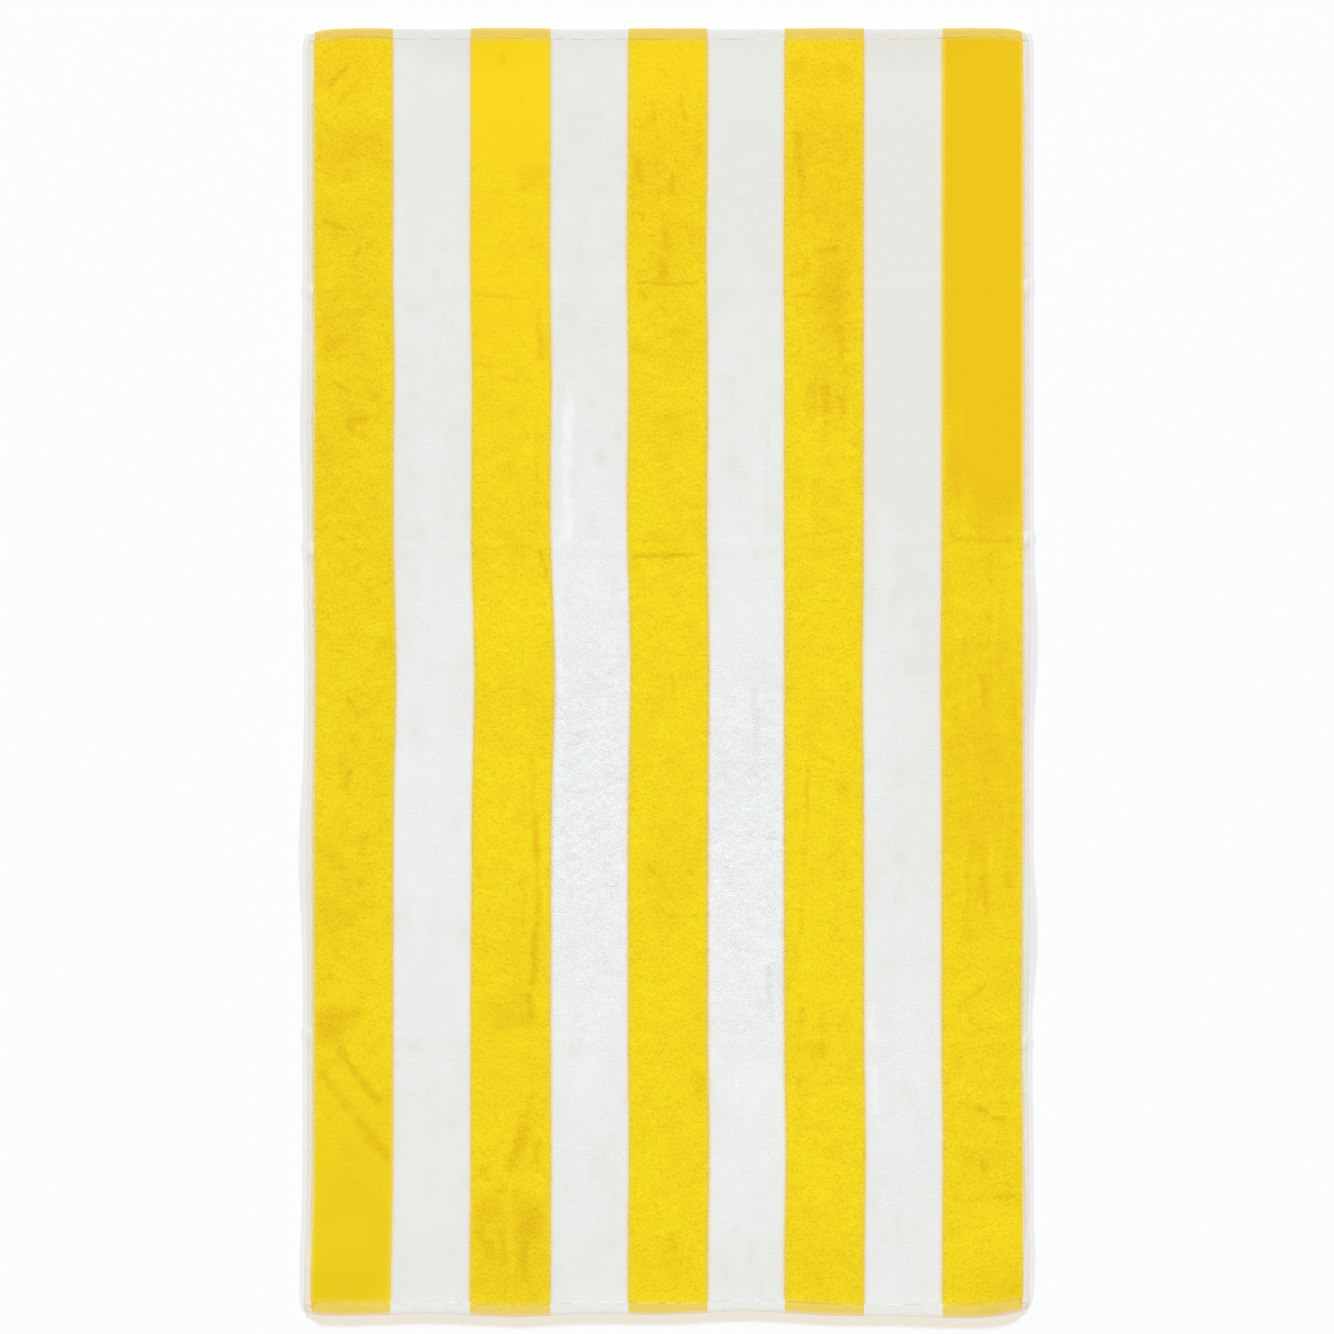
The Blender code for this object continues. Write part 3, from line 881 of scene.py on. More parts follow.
def ground_cloth(cloth, sizes, material):
    """The woven ground under the pile, as one closed sheet that ends inside hems and selvedges.

    Top and underside are the lift plus and minus half the thickness about its middle. Close to
    the border both follow a circle, and they share the border.
    """
    half_across = cloth.half_width - sizes.selvedge_width - GROUND_INSET
    half_along = cloth.half_length - sizes.hem_depth
    stops = [row["start_y"] for row in rows(LINE_COLUMNS, CROSS_CREASES)]
    across = rimmed_lines(half_across, GROUND_RIM, GROUND_CELL_X)
    along = rimmed_lines(half_along, GROUND_RIM, GROUND_CELL_Y, stops)
    x, y = np.meshgrid(across, along, indexing="ij")
    at_edge = rounded(half_across - np.abs(x), GROUND_RIM[-1])
    at_edge = at_edge * rounded(half_along - np.abs(y), GROUND_RIM[-1])
    middle = cloth.lift(x, y) + GROUND_THICKNESS / 2
    half_thick = at_edge * GROUND_THICKNESS / 2
    sides = [stacked(*cloth.spread(x, y), middle + side * half_thick) for side in (1, -1)]
    numbers = grid_numbers(*x.shape)
    under_numbers = numbers + x.size
    border = np.ones_like(numbers, dtype=bool)
    border[1:-1, 1:-1] = False
    under_numbers[border] = numbers[border]
    faces = np.concatenate([cell_faces(numbers), cell_faces(under_numbers)[:, ::-1]])
    used, renumbered = np.unique(faces, return_inverse=True)
    points = np.concatenate(sides)[used]
    flat = np.concatenate([stacked(x, y)] * 2)[used]
    return make_piece("ground_cloth", points, flat, renumbered.reshape(-1, 4), material)


def band_section(depth, trough):
    """Half of a band's section: each column's place from the outer edge and its share of height.

    It is level between two rims that round over as in the tables. A trough adds five columns.
    """
    outer, inner = rows(RIM_COLUMNS, OUTER_RIM), rows(RIM_COLUMNS, INNER_RIM)
    places = [row["from_edge"] for row in outer] + [share * depth for share in BAND_MIDDLE]
    places += [depth - STITCH_INSET + aside for aside in TROUGH_COLUMNS] if trough else []
    places += [depth - row["from_edge"] for row in inner]
    shares = np.ones(len(places))
    shares[: len(outer)] = [row["share"] for row in outer]
    shares[-len(inner) :] = [row["share"] for row in inner]
    return np.array(places), shares


def round_section(top, under):
    """Rings of a band: the top's columns from outside in, and then the underside's back out."""
    return np.concatenate([top, under[:, ::-1]], axis=1)


def band_faces(rings, columns):
    """Faces from ring to ring of a band, and a strip of faces that closes each of its ends."""
    numbers = grid_numbers(rings, 2 * columns)
    caps = []
    for ring in (numbers[0], numbers[-1]):
        upper, lower = ring[:columns], ring[columns:][::-1]
        caps.append(np.stack([upper[:-1], upper[1:], lower[1:], lower[:-1]], axis=-1))
    return np.concatenate([cell_faces(closed_round(numbers).T), *caps])


def band_map(places, run, strips):
    """A map for a band, once round its section and along its run."""
    top = running_length(places)
    under = top + top[-1] + BAND_EDGE_RUN
    girth = np.concatenate([top, under, under[-1:] + BAND_EDGE_RUN])
    return grid_map(girth, running_length(run), strips, 2 * (len(places) - 1))


def woven_band(name, along_x, end, cloth, sizes, material):
    """A hem or selvedge: a flat section carried along an edge of the cloth, above and below.

    The height goes up and down from one column to the next for the ribs of the weave, and falls
    as a quarter circle at both ends, where flat faces close the band. A hem gets as thin as a
    selvedge at the sides, is narrower where the pile reaches over it and has a trough under its
    stitches. A selvedge lies lower where it runs under a hem. The underside reaches down by the
    height of the cloth's lifted edges.
    """
    if along_x:
        half_run = cloth.half_width
        depth = sizes.hem_depth + HEM_UNDER_PILE
    else:
        half_run = cloth.half_length - sizes.hem_depth + SELVEDGE_UNDER_HEM
        depth = sizes.selvedge_width + SELVEDGE_UNDER_PILE
    cell, strips = HEM_GRID if along_x else SELVEDGE_GRID
    run = rimmed_lines(half_run, BAND_CAP, cell)
    places, shares = band_section(depth, along_x)
    run_at, places = np.meshgrid(run, places, indexing="ij")
    closing = rounded(half_run - np.abs(run_at), BAND_CAP_REACH)
    closing = BAND_CAP_SHARE + (1.0 - BAND_CAP_SHARE) * closing
    rib = np.where(np.arange(len(run)) % 2 == 0, 1.0, -1.0)[:, None]
    if along_x:
        cover = cloth.hem_cover(run_at, end)
        places = places * (1.0 - cover / depth)
        x, y = run_at, end * (cloth.half_length - places)
        inside = cloth.half_width - np.abs(x) - sizes.selvedge_width + HEM_THINS_OVER
        thicker = (sizes.hem_thickness - sizes.selvedge_thickness) * eased(inside / HEM_THINS_RUN)
        dip = TROUGH_DEPTH * hump((depth - STITCH_INSET - places - cover) / TROUGH_REACH) * closing
    else:
        x, y = end * (cloth.half_width - places), run_at
        thicker = 0.0
        under_hem = sizes.hem_depth - SELVEDGE_SUNK_BEFORE - cloth.half_length + np.abs(run_at)
        dip = SELVEDGE_SUNK * eased(under_hem / SELVEDGE_SUNK_RUN)
    thickness = sizes.selvedge_thickness + thicker
    top = thickness * (0.5 + closing * (shares - 0.5 + RIB_HEIGHT * rib))
    top = top + cloth.uneven(x, y, "weave_top") * shares - dip
    under = thickness * (0.5 - closing * 0.5) - EDGE_LIFT
    wave = RIB_WAVE * rib + cloth.uneven(x, y, "weave_edge")
    wave = end * wave * eased(1.0 - places / EDGE_WAVE_REACH)
    x_out, y_out = cloth.spread(x, y)
    x_out, y_out = (x_out, y_out + wave) if along_x else (x_out + wave, y_out)
    lift = cloth.lift(x, y)
    level = round_section(np.maximum(lift + top, 0.0), np.maximum(lift + under, 0.0))
    points = stacked(round_section(x_out, x_out), round_section(y_out, y_out), level)
    flat = stacked(round_section(x, x), round_section(y, y))
    faces = band_faces(len(run), len(shares))
    strip_map = band_map(places[len(run) // 2], run, strips)
    return make_piece(name, points, flat, faces, material, closed=True, strip_map=strip_map)


def hem_stitches(name, end, cloth, sizes, material):
    """A row of thread stitches: round thread carried along a half cosine, sunk in at both ends."""
    count = int((2 * cloth.half_width - STITCH_MARGIN) / STITCH_PITCH)
    start = (np.arange(count) - (count - 1) / 2) * STITCH_PITCH
    along = np.linspace(-0.5, 0.5, STITCH_RINGS)
    turn = np.linspace(0.0, 2.0 * math.pi, THREAD_POINTS, endpoint=False)
    at, step, angle = np.meshgrid(start, along, turn, indexing="ij")
    rise = (np.cos(math.pi * step) - 1.0) * STITCH_RISE
    x = at + step * STITCH_LENGTH
    inset = sizes.hem_depth + HEM_UNDER_PILE - STITCH_INSET - cloth.hem_cover(x, end)
    y = end * (cloth.half_length - inset) + THREAD_RADIUS * np.cos(angle)
    z = cloth.lift(x, y) + sizes.hem_thickness - STITCH_SUNK + rise + THREAD_RADIUS * np.sin(angle)
    numbers = grid_numbers(STITCH_RINGS, THREAD_POINTS)
    ends = [ring[THREAD_END].reshape(-1, 4) for ring in (numbers[0], numbers[-1])]
    one = np.concatenate([cell_faces(closed_round(numbers)), *ends])
    faces = (one[None] + (np.arange(count) * numbers.size)[:, None, None]).reshape(-1, 4)
    points = stacked(*cloth.spread(x, y), z)
    return make_piece(name, points, stacked(x, y), faces, material, closed=True)


def pile_height(number, half, offset, y, from_end, cloth, sizes):
    """Height of a stripe's pile above the ground, before its chance unevenness."""
    full = sizes.pile_thickness - GROUND_THICKNESS
    height = full * np.ones_like(offset)
    for side in (-1, 1):
        outermost = number == 4 * side
        reach = PILE_OUTER_REACH if outermost else SHOULDER_REACH
        drop = full - PILE_OUTER_HEIGHT if outermost else PILE_PARTING
        height = height - drop * (1.0 - rounded(half - side * offset, reach))
    taper = sizes.pile_thickness - sizes.hem_thickness - PILE_OVER_HEM
    height = height - taper * eased(1.0 - from_end / PILE_TAPER_LENGTH)
    evening = PILE_EVENING * eased(from_end / PILE_EVENING_RUN)
    folds = cloth.folds(number * STRIPE_PITCH / 2 + offset, y)
    return np.maximum(height - evening * folds, PILE_LOWEST)


def pile_stripe(name, number, cloth, sizes, kind, material):
    """The pile of one stripe: the cloth's lift, plus the pile's height, tufts and unevenness.

    The height falls as a quarter circle at the stripe's borders: a little where it meets the next
    stripe's pile, and down to the weave beside a selvedge. It comes down to the hems in a smooth
    curve, and is less on the creases, where the pile is worn. What patches of calm nap leave of
    the unevenness, they leave of its height too. A last column runs straight down into the
    ground, so the stripe has no open edge.
    """
    yellow = number % 2 == 0
    half = (sizes.yellow_width if yellow else STRIPE_PITCH - sizes.yellow_width) / 2
    half_along = cloth.half_length - sizes.hem_depth
    across, along = [
        np.concatenate([[-reach], rimmed_lines(reach, SHOULDER_COLUMNS, PILE_CELL), [reach]])
        for reach in (half, half_along)
    ]
    offset, y = np.meshgrid(across, along, indexing="ij")
    x = number * STRIPE_PITCH / 2 + offset
    from_side, from_end = half - np.abs(offset), half_along - np.abs(y)
    height = pile_height(number, half, offset, y, from_end, cloth, sizes)
    loose = np.clip(height / (sizes.pile_thickness - GROUND_THICKNESS), 0.0, 1.0)
    nap = cloth.nap(x, y, kind)
    chance = TUFT_HEIGHT * np.random.default_rng(PILE_SEED + number).standard_normal(x.shape)
    for unevenness in ("clumps", "yellow_rolls" if yellow else "white_rolls", "waves"):
        chance = chance + cloth.uneven(x, y, unevenness)
    rough = CALM_HEIGHT + (1.0 - CALM_HEIGHT) * nap[..., 2]
    height = height + chance * loose * rough * kind["heights"]
    height = height - PRESSED_DEPTH * kind["pressing"] * cloth.pressed(x, y) * loose
    height[[0, -1], :] = -PILE_SKIRT_DEPTH
    height[:, [0, -1]] = -PILE_SKIRT_DEPTH
    over_hem = cloth.hem_cover(x, y) * eased(1.0 - from_end / HEM_COVER_RUN)
    x_out, y_out = cloth.spread(x, y + np.sign(y) * over_hem)
    ragged = eased(1.0 - np.minimum(from_side, from_end) / RAGGED_REACH)
    x_out = x_out + ragged * cloth.uneven(x, y, "ragged_x")
    y_out = y_out + ragged * cloth.uneven(x, y, "ragged_y")
    points = stacked(x_out, y_out, cloth.lift(x, y) + GROUND_THICKNESS + height)
    faces = cell_faces(grid_numbers(*x.shape))
    strip_map = grid_map(running_length(across), running_length(along), 4)
    piece = make_piece(name, points, stacked(x, y), faces, material, strip_map=strip_map)
    add_attribute(piece.data, "from_border", from_side.ravel())
    add_attribute(piece.data, "from_hem", from_end.ravel())
    add_attribute(piece.data, "nap", nap.reshape(-1, 3))
    return piece


# ---------------------------------------------------------------------------------------------
# Materials
# ---------------------------------------------------------------------------------------------


def add_node(tree, kind, values=(), **settings):
    """A shader node with its settings, and each input set to a value or linked to a socket."""
    node = tree.nodes.new(kind)
    for name, value in settings.items():
        setattr(node, name, value)
    for name, value in dict(values).items():
        if isinstance(value, bpy.types.NodeSocket):
            tree.links.new(value, node.inputs[name])
        else:
            node.inputs[name].default_value = value
    return node


def placed(tree, group, values):
    """The outputs of a group placed in a material, with its inputs set or linked."""
    return add_node(tree, "ShaderNodeGroup", values, node_tree=group).outputs


def maths(tree, operation, first, second=0.0, clamped=False):
    """The result of one sum."""
    values = {0: first, 1: second}
    return add_node(tree, "ShaderNodeMath", values, operation=operation, use_clamp=clamped).outputs[0]


def vector_maths(tree, operation, values):
    """The result of one sum with vectors."""
    return add_node(tree, "ShaderNodeVectorMath", values, operation=operation).outputs[0]


def mixed(tree, share, first, second, blend="MIX"):
    """Two colours mixed by a share."""
    values = {0: share, 6: first, 7: second}
    node = add_node(tree, "ShaderNodeMix", values, data_type="RGBA", blend_type=blend)
    return node.outputs[2]


def ranged(tree, value, low, high, to_low=0.0, to_high=1.0):
    """A value mapped smoothly from one range to another."""
    values = {"Value": value, "From Min": low, "From Max": high, "To Min": to_low, "To Max": to_high}
    node = add_node(tree, "ShaderNodeMapRange", values, interpolation_type="SMOOTHSTEP")
    return node.outputs[0]


def noise(tree, flat, scale, detail=2.0, roughness=0.5):
    """Soft noise over the flat cloth."""
    values = {"Vector": flat, "Scale": scale, "Detail": detail, "Roughness": roughness}
    return add_node(tree, "ShaderNodeTexNoise", values, noise_dimensions="2D").outputs["Fac"]


def parted(tree, vector):
    """The X, Y and Z of a vector."""
    return add_node(tree, "ShaderNodeSeparateXYZ", {0: vector}).outputs


def attribute(tree, name, vector=False):
    """A number or a vector that the piece stores for each point."""
    node = add_node(tree, "ShaderNodeAttribute", attribute_name=name)
    return node.outputs["Vector" if vector else "Fac"]


def new_group(name, inputs, outputs):
    """An empty shader node group with its named sockets, and its input and output nodes."""
    group = bpy.data.node_groups.new(name, "ShaderNodeTree")
    for way, sockets in (("INPUT", inputs), ("OUTPUT", outputs)):
        for socket, kind in sockets.items():
            group.interface.new_socket(name=socket, in_out=way, socket_type="NodeSocket" + kind)
    entry = group.nodes.new("NodeGroupInput")
    leave = group.nodes.new("NodeGroupOutput")
    return group, entry.outputs, leave.inputs


def pile_tufts():
    """Tufts: soft domes in cells of a wandering pattern, roughened by fibres.

    Height is for a bump. Tone is the same pattern from 0, deep between tufts, to 1, on top; the materials
    paint shade between tufts and loops by one less it.
    """
    inputs = {"Flat": "Vector", "Tuft Size": "Float"}
    group, given, out = new_group("pile tufts", inputs, {"Height": "Float", "Tone": "Float"})
    scale = maths(group, "DIVIDE", 1.0, given["Tuft Size"])
    place = vector_maths(group, "SCALE", {0: given["Flat"], "Scale": scale})
    values = {"Vector": place, "Scale": 0.8, "Detail": 1.0, "Distortion": 1.2}
    wander = add_node(group, "ShaderNodeTexNoise", values, noise_dimensions="2D").outputs["Color"]
    wander = vector_maths(group, "SUBTRACT", {0: wander, 1: (0.5, 0.5, 0.5)})
    moved = vector_maths(group, "MULTIPLY_ADD", {0: wander, 1: (1.3, 1.3, 0.0), 2: place})
    values = {"Vector": moved, "Scale": 1.0, "Smoothness": 0.4, "Randomness": 1.0}
    cells = add_node(
        group, "ShaderNodeTexVoronoi", values, voronoi_dimensions="2D", feature="SMOOTH_F1"
    ).outputs["Distance"]
    dome = maths(group, "SUBTRACT", 1.0, maths(group, "MULTIPLY", cells, cells))
    fibres = maths(group, "MULTIPLY", noise(group, place, 3.5, 3.0, 0.65), 0.6)
    height = maths(group, "ADD", dome, fibres)
    group.links.new(height, out["Height"])
    group.links.new(ranged(group, height, 0.75, 1.35), out["Tone"])
    return group


def brushed_nap():
    """Nap: how deep the colour is, from the piece's own nap broken up by two sizes of noise."""
    inputs = {"Flat": "Vector", "Depth": "Float", "Grain": "Float"}
    group, given, out = new_group("brushed nap", inputs, {"Shade": "Float"})
    values = {"Vector": given["Flat"], "Rotation": (0.0, 0.0, NAP_TURN), "Scale": NAP_STRETCH}
    turned = add_node(group, "ShaderNodeMapping", values).outputs[0]
    parts = []
    for place, row in zip((turned, given["Flat"]), rows(NAP_NOISE_COLUMNS, (NAP_STREAKS, NAP_FLECKS))):
        part = noise(group, place, 1.0 / row["size"], row["detail"], row["roughness"])
        parts.append(maths(group, "MULTIPLY", maths(group, "SUBTRACT", part, 0.5), row["amount"]))
    chance = maths(group, "ADD", *parts)
    shade = maths(group, "ADD", given["Depth"], maths(group, "MULTIPLY", chance, given["Grain"]))
    group.links.new(maths(group, "MAXIMUM", shade, 0.0), out["Shade"])
    return group


def woven_ribs():
    """Flat weave: ridges along the cloth crossed by finer ones, as height and as a share, 1 on the
    ridges, for the painted shade between them.
    """
    inputs = {"Flat": "Vector", "Rib Pitch": "Float"}
    group, given, out = new_group("woven ribs", inputs, {"Height": "Float", "Shade": "Float"})
    place = parted(group, given["Flat"])
    turns = maths(group, "DIVIDE", 2.0 * math.pi, given["Rib Pitch"])
    ribs = maths(group, "COSINE", maths(group, "MULTIPLY", place["X"], turns))
    pick_turns = maths(group, "MULTIPLY", turns, PICKS_TO_RIBS)
    picks = maths(group, "COSINE", maths(group, "MULTIPLY", place["Y"], pick_turns))
    weave = maths(group, "ADD", ribs, maths(group, "MULTIPLY", picks, PICK_HEIGHT))
    fibres = maths(group, "MULTIPLY", noise(group, given["Flat"], 1.0 / FIBRE_SIZE), 0.8)
    group.links.new(maths(group, "ADD", weave, fibres), out["Height"])
    group.links.new(ranged(group, weave, -1.3, 1.0), out["Shade"])
    return group


def stripe_mask():
    """1 on the yellow stripes of the flat cloth and 0 on the white ones and the selvedges."""
    inputs = {"Flat": "Vector", "Pitch": "Float", "Yellow Width": "Float"}
    group, given, out = new_group("stripe mask", inputs, {"Yellow": "Float"})
    turns = maths(group, "DIVIDE", parted(group, given["Flat"])["X"], given["Pitch"])
    turns = maths(group, "FRACT", maths(group, "ADD", turns, 10.5))
    from_middle = maths(group, "ABSOLUTE", maths(group, "SUBTRACT", turns, 0.5))
    from_middle = maths(group, "MULTIPLY", from_middle, given["Pitch"])
    half = maths(group, "MULTIPLY", given["Yellow Width"], 0.5)
    beyond = maths(group, "SUBTRACT", half, from_middle)
    group.links.new(ranged(group, beyond, -0.0008, 0.0008), out["Yellow"])
    return group


def make_material(name, paint, *given):
    """A matt, slightly fuzzy material. paint makes its nodes and gives its colour and its height."""
    finish = dict(zip(FINISH_COLUMNS, FINISHES[name]))
    material = bpy.data.materials.new(name)
    material.use_nodes = True
    tree = material.node_tree
    shader = tree.nodes["Principled BSDF"].inputs
    shader["Roughness"].default_value = finish["roughness"]
    shader["Specular IOR Level"].default_value = SPECULAR
    shader["Sheen Weight"].default_value = finish["sheen"]
    shader["Sheen Roughness"].default_value = SHEEN_ROUGHNESS
    colour, height = paint(tree, *given)
    values = {"Strength": finish["bump"], "Distance": finish["bump_depth"], "Height": height}
    bump = add_node(tree, "ShaderNodeBump", values)
    tree.links.new(bump.outputs[0], shader["Normal"])
    tree.links.new(colour, shader["Base Color"])
    return material


def in_yellow(tree, groups, sizes, flat):
    """The stripe mask placed in a material."""
    values = {"Flat": flat, "Pitch": STRIPE_PITCH, "Yellow Width": sizes.yellow_width}
    return placed(tree, groups["stripes"], values)["Yellow"]


def pile_paint(tree, groups, kind, colours):
    """Pile: bright to brushed by the nap, with painted shade between tufts, tinted at borders and hems.
    """
    flat = attribute(tree, "flat", vector=True)
    nap = parted(tree, attribute(tree, "nap", vector=True))
    tufts = placed(tree, groups["tufts"], {"Flat": flat, "Tuft Size": kind["tuft_size"]})
    mottle = maths(tree, "MULTIPLY", maths(tree, "MINIMUM", nap["Z"], 1.0), kind["mottle"])
    values = {"Flat": flat, "Depth": nap["X"], "Grain": mottle}
    shade = placed(tree, groups["nap"], values)["Shade"]
    # In the white stripes this mix from bright to brushed is mostly painted light, a painted pool of
    # light about the middle of the cloth.
    colour = mixed(tree, shade, colours["bright"], colours["brushed"])
    warm = maths(tree, "MAXIMUM", nap["Y"], 0.0)
    cool = maths(tree, "MAXIMUM", maths(tree, "MULTIPLY", nap["Y"], -1.0), 0.0)
    colour = mixed(tree, warm, colour, kind["warm"], "MULTIPLY")
    colour = mixed(tree, cool, colour, kind["cool"], "MULTIPLY")
    at_border = ranged(tree, attribute(tree, "from_border"), *kind["border_reach"])
    colour = mixed(tree, at_border, colour, colours["border"])
    at_hem = ranged(tree, attribute(tree, "from_hem"), *PILE_BY_HEM)
    colour = mixed(tree, at_hem, colour, colours["hem"])
    # Painted shade between tufts: the colour darkens where the tufts' tone is low, more where the grain
    # is coarse.
    coarse = maths(tree, "ADD", maths(tree, "MULTIPLY", nap["Z"], 0.88), 0.12)
    painted_gap_shades = maths(tree, "SUBTRACT", 1.0, tufts["Tone"])
    deep = maths(tree, "MULTIPLY", coarse, kind["gap_depth"])
    deep = maths(tree, "MULTIPLY", painted_gap_shades, deep, clamped=True)
    colour = mixed(tree, deep, colour, kind["gap"], "MULTIPLY")
    return colour, maths(tree, "MULTIPLY", tufts["Height"], coarse)


def weave_paint(tree, groups, sizes, colours):
    """Flat weave of hems and selvedges, yellow or white by the stripe that it continues."""
    flat = attribute(tree, "flat", vector=True)
    place = parted(tree, flat)
    from_side = maths(tree, "SUBTRACT", sizes.width / 2, maths(tree, "ABSOLUTE", place["X"]))
    from_end = maths(tree, "SUBTRACT", sizes.length / 2, maths(tree, "ABSOLUTE", place["Y"]))
    # The selvedge turns warmer toward the pile, and is painted lighter there against the pile's shadow.
    beside_pile = ranged(tree, from_side, SELVEDGE_OUTER_WIDTH, sizes.selvedge_width)
    selvedge = mixed(tree, beside_pile, colours.selvedge, colours.selvedge_inner_warm_and_lit)
    beyond = maths(tree, "SUBTRACT", from_side, sizes.selvedge_width)
    in_stripes = ranged(tree, beyond, -0.0015, 0.0005)
    white = mixed(tree, in_stripes, selvedge, colours.white_hem)
    lower_end = ranged(tree, place["Y"], 0.1, -0.1, TOP_EDGE_SHARE, 1.0)
    at_edge = maths(tree, "MULTIPLY", ranged(tree, from_end, 0.0, HEM_EDGE_WIDTH, 1.0, 0.0), lower_end)
    yellow = mixed(tree, at_edge, colours.yellow_hem, colours.hem_edge)
    pile_starts = sizes.hem_depth - HEM_BY_PILE_WIDTH
    at_pile = ranged(tree, from_end, pile_starts, sizes.hem_depth, 0.0, HEM_BY_PILE)
    yellow = mixed(tree, at_pile, yellow, colours.yellow)
    colour = mixed(tree, in_yellow(tree, groups, sizes, flat), white, yellow)
    outermost = ranged(tree, from_end, 0.0, HEM_OUTERMOST_WIDTH, 1.0, 0.0)
    outermost = maths(tree, "MULTIPLY", outermost, lower_end)
    colour = mixed(tree, outermost, colour, HEM_OUTERMOST, "MULTIPLY")
    # Painted shade on the sides' outermost millimetre.
    side_shade = ranged(tree, from_side, 0.0, PAINTED_SIDE_SHADE_WIDTH, 1.0, 0.0)
    colour = mixed(tree, side_shade, colour, PAINTED_SIDE_SHADE, "MULTIPLY")
    ribs = placed(tree, groups["ribs"], {"Flat": flat, "Rib Pitch": RIB_PITCH})
    # Painted shade in the grooves between the ribs.
    between = maths(tree, "SUBTRACT", 1.0, ribs["Shade"])
    return mixed(tree, between, colour, SHADE_BETWEEN_RIBS, "MULTIPLY"), ribs["Height"]


def back_paint(tree, groups, sizes, colours):
    """The looped underside, in the same stripes as the face."""
    flat = attribute(tree, "flat", vector=True)
    tufts = placed(tree, groups["tufts"], {"Flat": flat, "Tuft Size": BACK_LOOP_SIZE})
    colour = mixed(tree, in_yellow(tree, groups, sizes, flat), colours.white, colours.yellow)
    # Painted shade between the loops.
    between = maths(tree, "SUBTRACT", 1.0, tufts["Tone"])
    return mixed(tree, between, colour, SHADE_BETWEEN_LOOPS, "MULTIPLY"), tufts["Height"]


def thread_paint(tree, groups, sizes, colours):
    """Twisted cotton thread in the stripe's own colour."""
    flat = attribute(tree, "flat", vector=True)
    colour = mixed(tree, in_yellow(tree, groups, sizes, flat), colours.thread, colours.yellow_hem)
    place = add_node(tree, "ShaderNodeTexCoord").outputs["Object"]
    values = {"Vector": place, "Scale": 900.0, "Distortion": 2.0, "Detail": 2.0}
    twist = add_node(tree, "ShaderNodeTexWave", values, bands_direction="DIAGONAL").outputs["Fac"]
    # Painted shade in the thread's twist, between its plies.
    return mixed(tree, twist, colour, SHADE_BETWEEN_PLIES, "MULTIPLY"), twist


def floor_paint(tree, pale):
    """Pale matt paper with a faint tooth."""
    place = add_node(tree, "ShaderNodeTexCoord").outputs["Object"]
    values = {"Vector": place, "Scale": FLOOR_TOOTH, "Detail": 3.0}
    tooth = add_node(tree, "ShaderNodeTexNoise", values).outputs["Fac"]
    shaded = tuple(0.9 * part for part in pale[:3]) + (1.0,)
    return mixed(tree, ranged(tree, tooth, 0.2, 0.8, 0.0, 0.02), pale, shaded), tooth


# ---------------------------------------------------------------------------------------------
# Settings, operators and panel
# ---------------------------------------------------------------------------------------------


def length_property(name, description, default):
    """A length in metres."""
    return bpy.props.FloatProperty(
        name=name, description=description, default=default, min=0.0, subtype="DISTANCE", unit="LENGTH"
    )


def colour_property(name, description, default):
    """A colour, given by its red, green and blue."""
    opaque = (*default, 1.0)
    return bpy.props.FloatVectorProperty(
        name=name, description=description, default=opaque, size=4, min=0.0, max=1.0, subtype="COLOR"
    )


def share_property(name, description, default):
    """A light's shares of red, green and blue."""
    return bpy.props.FloatVectorProperty(
        name=name, description=description, default=default, size=3, min=0.0, max=1.0
    )


class TowelSizes(bpy.types.PropertyGroup):
    """Sizes of the cloth."""

    width: length_property("Width", "Width of the flat cloth, selvedges included", 0.900)
    length: length_property("Length", "Length of the flat cloth, hems included", 1.600)
    selvedge_width: length_property("Selvedge width", "Width of the woven edge on each side", 0.0098)
    selvedge_thickness: length_property("Selvedge thickness", "Thickness of the woven edge", 0.0016)
    hem_depth: length_property("Hem depth", "Depth of the flat-woven hem at each end", 0.0150)
    hem_thickness: length_property("Hem thickness", "Thickness of the turned hem", 0.0024)
    pile_thickness: length_property("Pile thickness", "Thickness of ground and pile together", 0.0034)
    yellow_width: length_property("Yellow stripe", "Width of one yellow stripe", 0.0992)


class TowelColours(bpy.types.PropertyGroup):
    """Colours of yarn, thread and floor."""

    yellow: colour_property("Yellow", "Pile that stands up", (0.952, 0.735, 0.0055))
    yellow_brushed: colour_property("Brushed yellow", "Pile that lies over", (0.864, 0.565, 0.0010))
    yellow_border: colour_property("Yellow border", "Pile along a stripe's border", (0.870, 0.655, 0.065))
    yellow_hem: colour_property("Yellow hem", "Flat weave of the hem in yellow", (0.880, 0.650, 0.127))
    hem_edge: colour_property("Hem edge", "Outermost edge of a yellow hem", (0.90, 0.77, 0.55))
    white: colour_property("White", "White pile", (0.925, 0.943, 0.950))
    # In the white stripes the step from White to this colour is mostly painted light: the white pile
    # starts in painted shade and is lightened toward the middle of the cloth.
    white_brushed_and_shaded: colour_property("Brushed white", "White pile that lies over", (0.807, 0.815, 0.776))
    white_border: colour_property("White border", "White pile beside yellow", (0.900, 0.700, 0.300))
    white_hem: colour_property("White hem", "Flat weave of the hem in white", (0.848, 0.859, 0.828))
    selvedge: colour_property("Selvedge", "Flat weave of the selvedges", (0.845, 0.825, 0.715))
    # Warmer beside the pile, and a little lighter there; the lightening is painted light against the
    # shadow of the pile's shoulder.
    selvedge_inner_warm_and_lit: colour_property("Inner selvedge", "Selvedge beside the pile", (1.00, 0.82, 0.66))
    thread: colour_property("Thread", "Sewing thread across the white hem", (0.87, 0.88, 0.84))
    floor: colour_property("Floor", "Plain floor under the towel", (0.974, 0.974, 0.974))


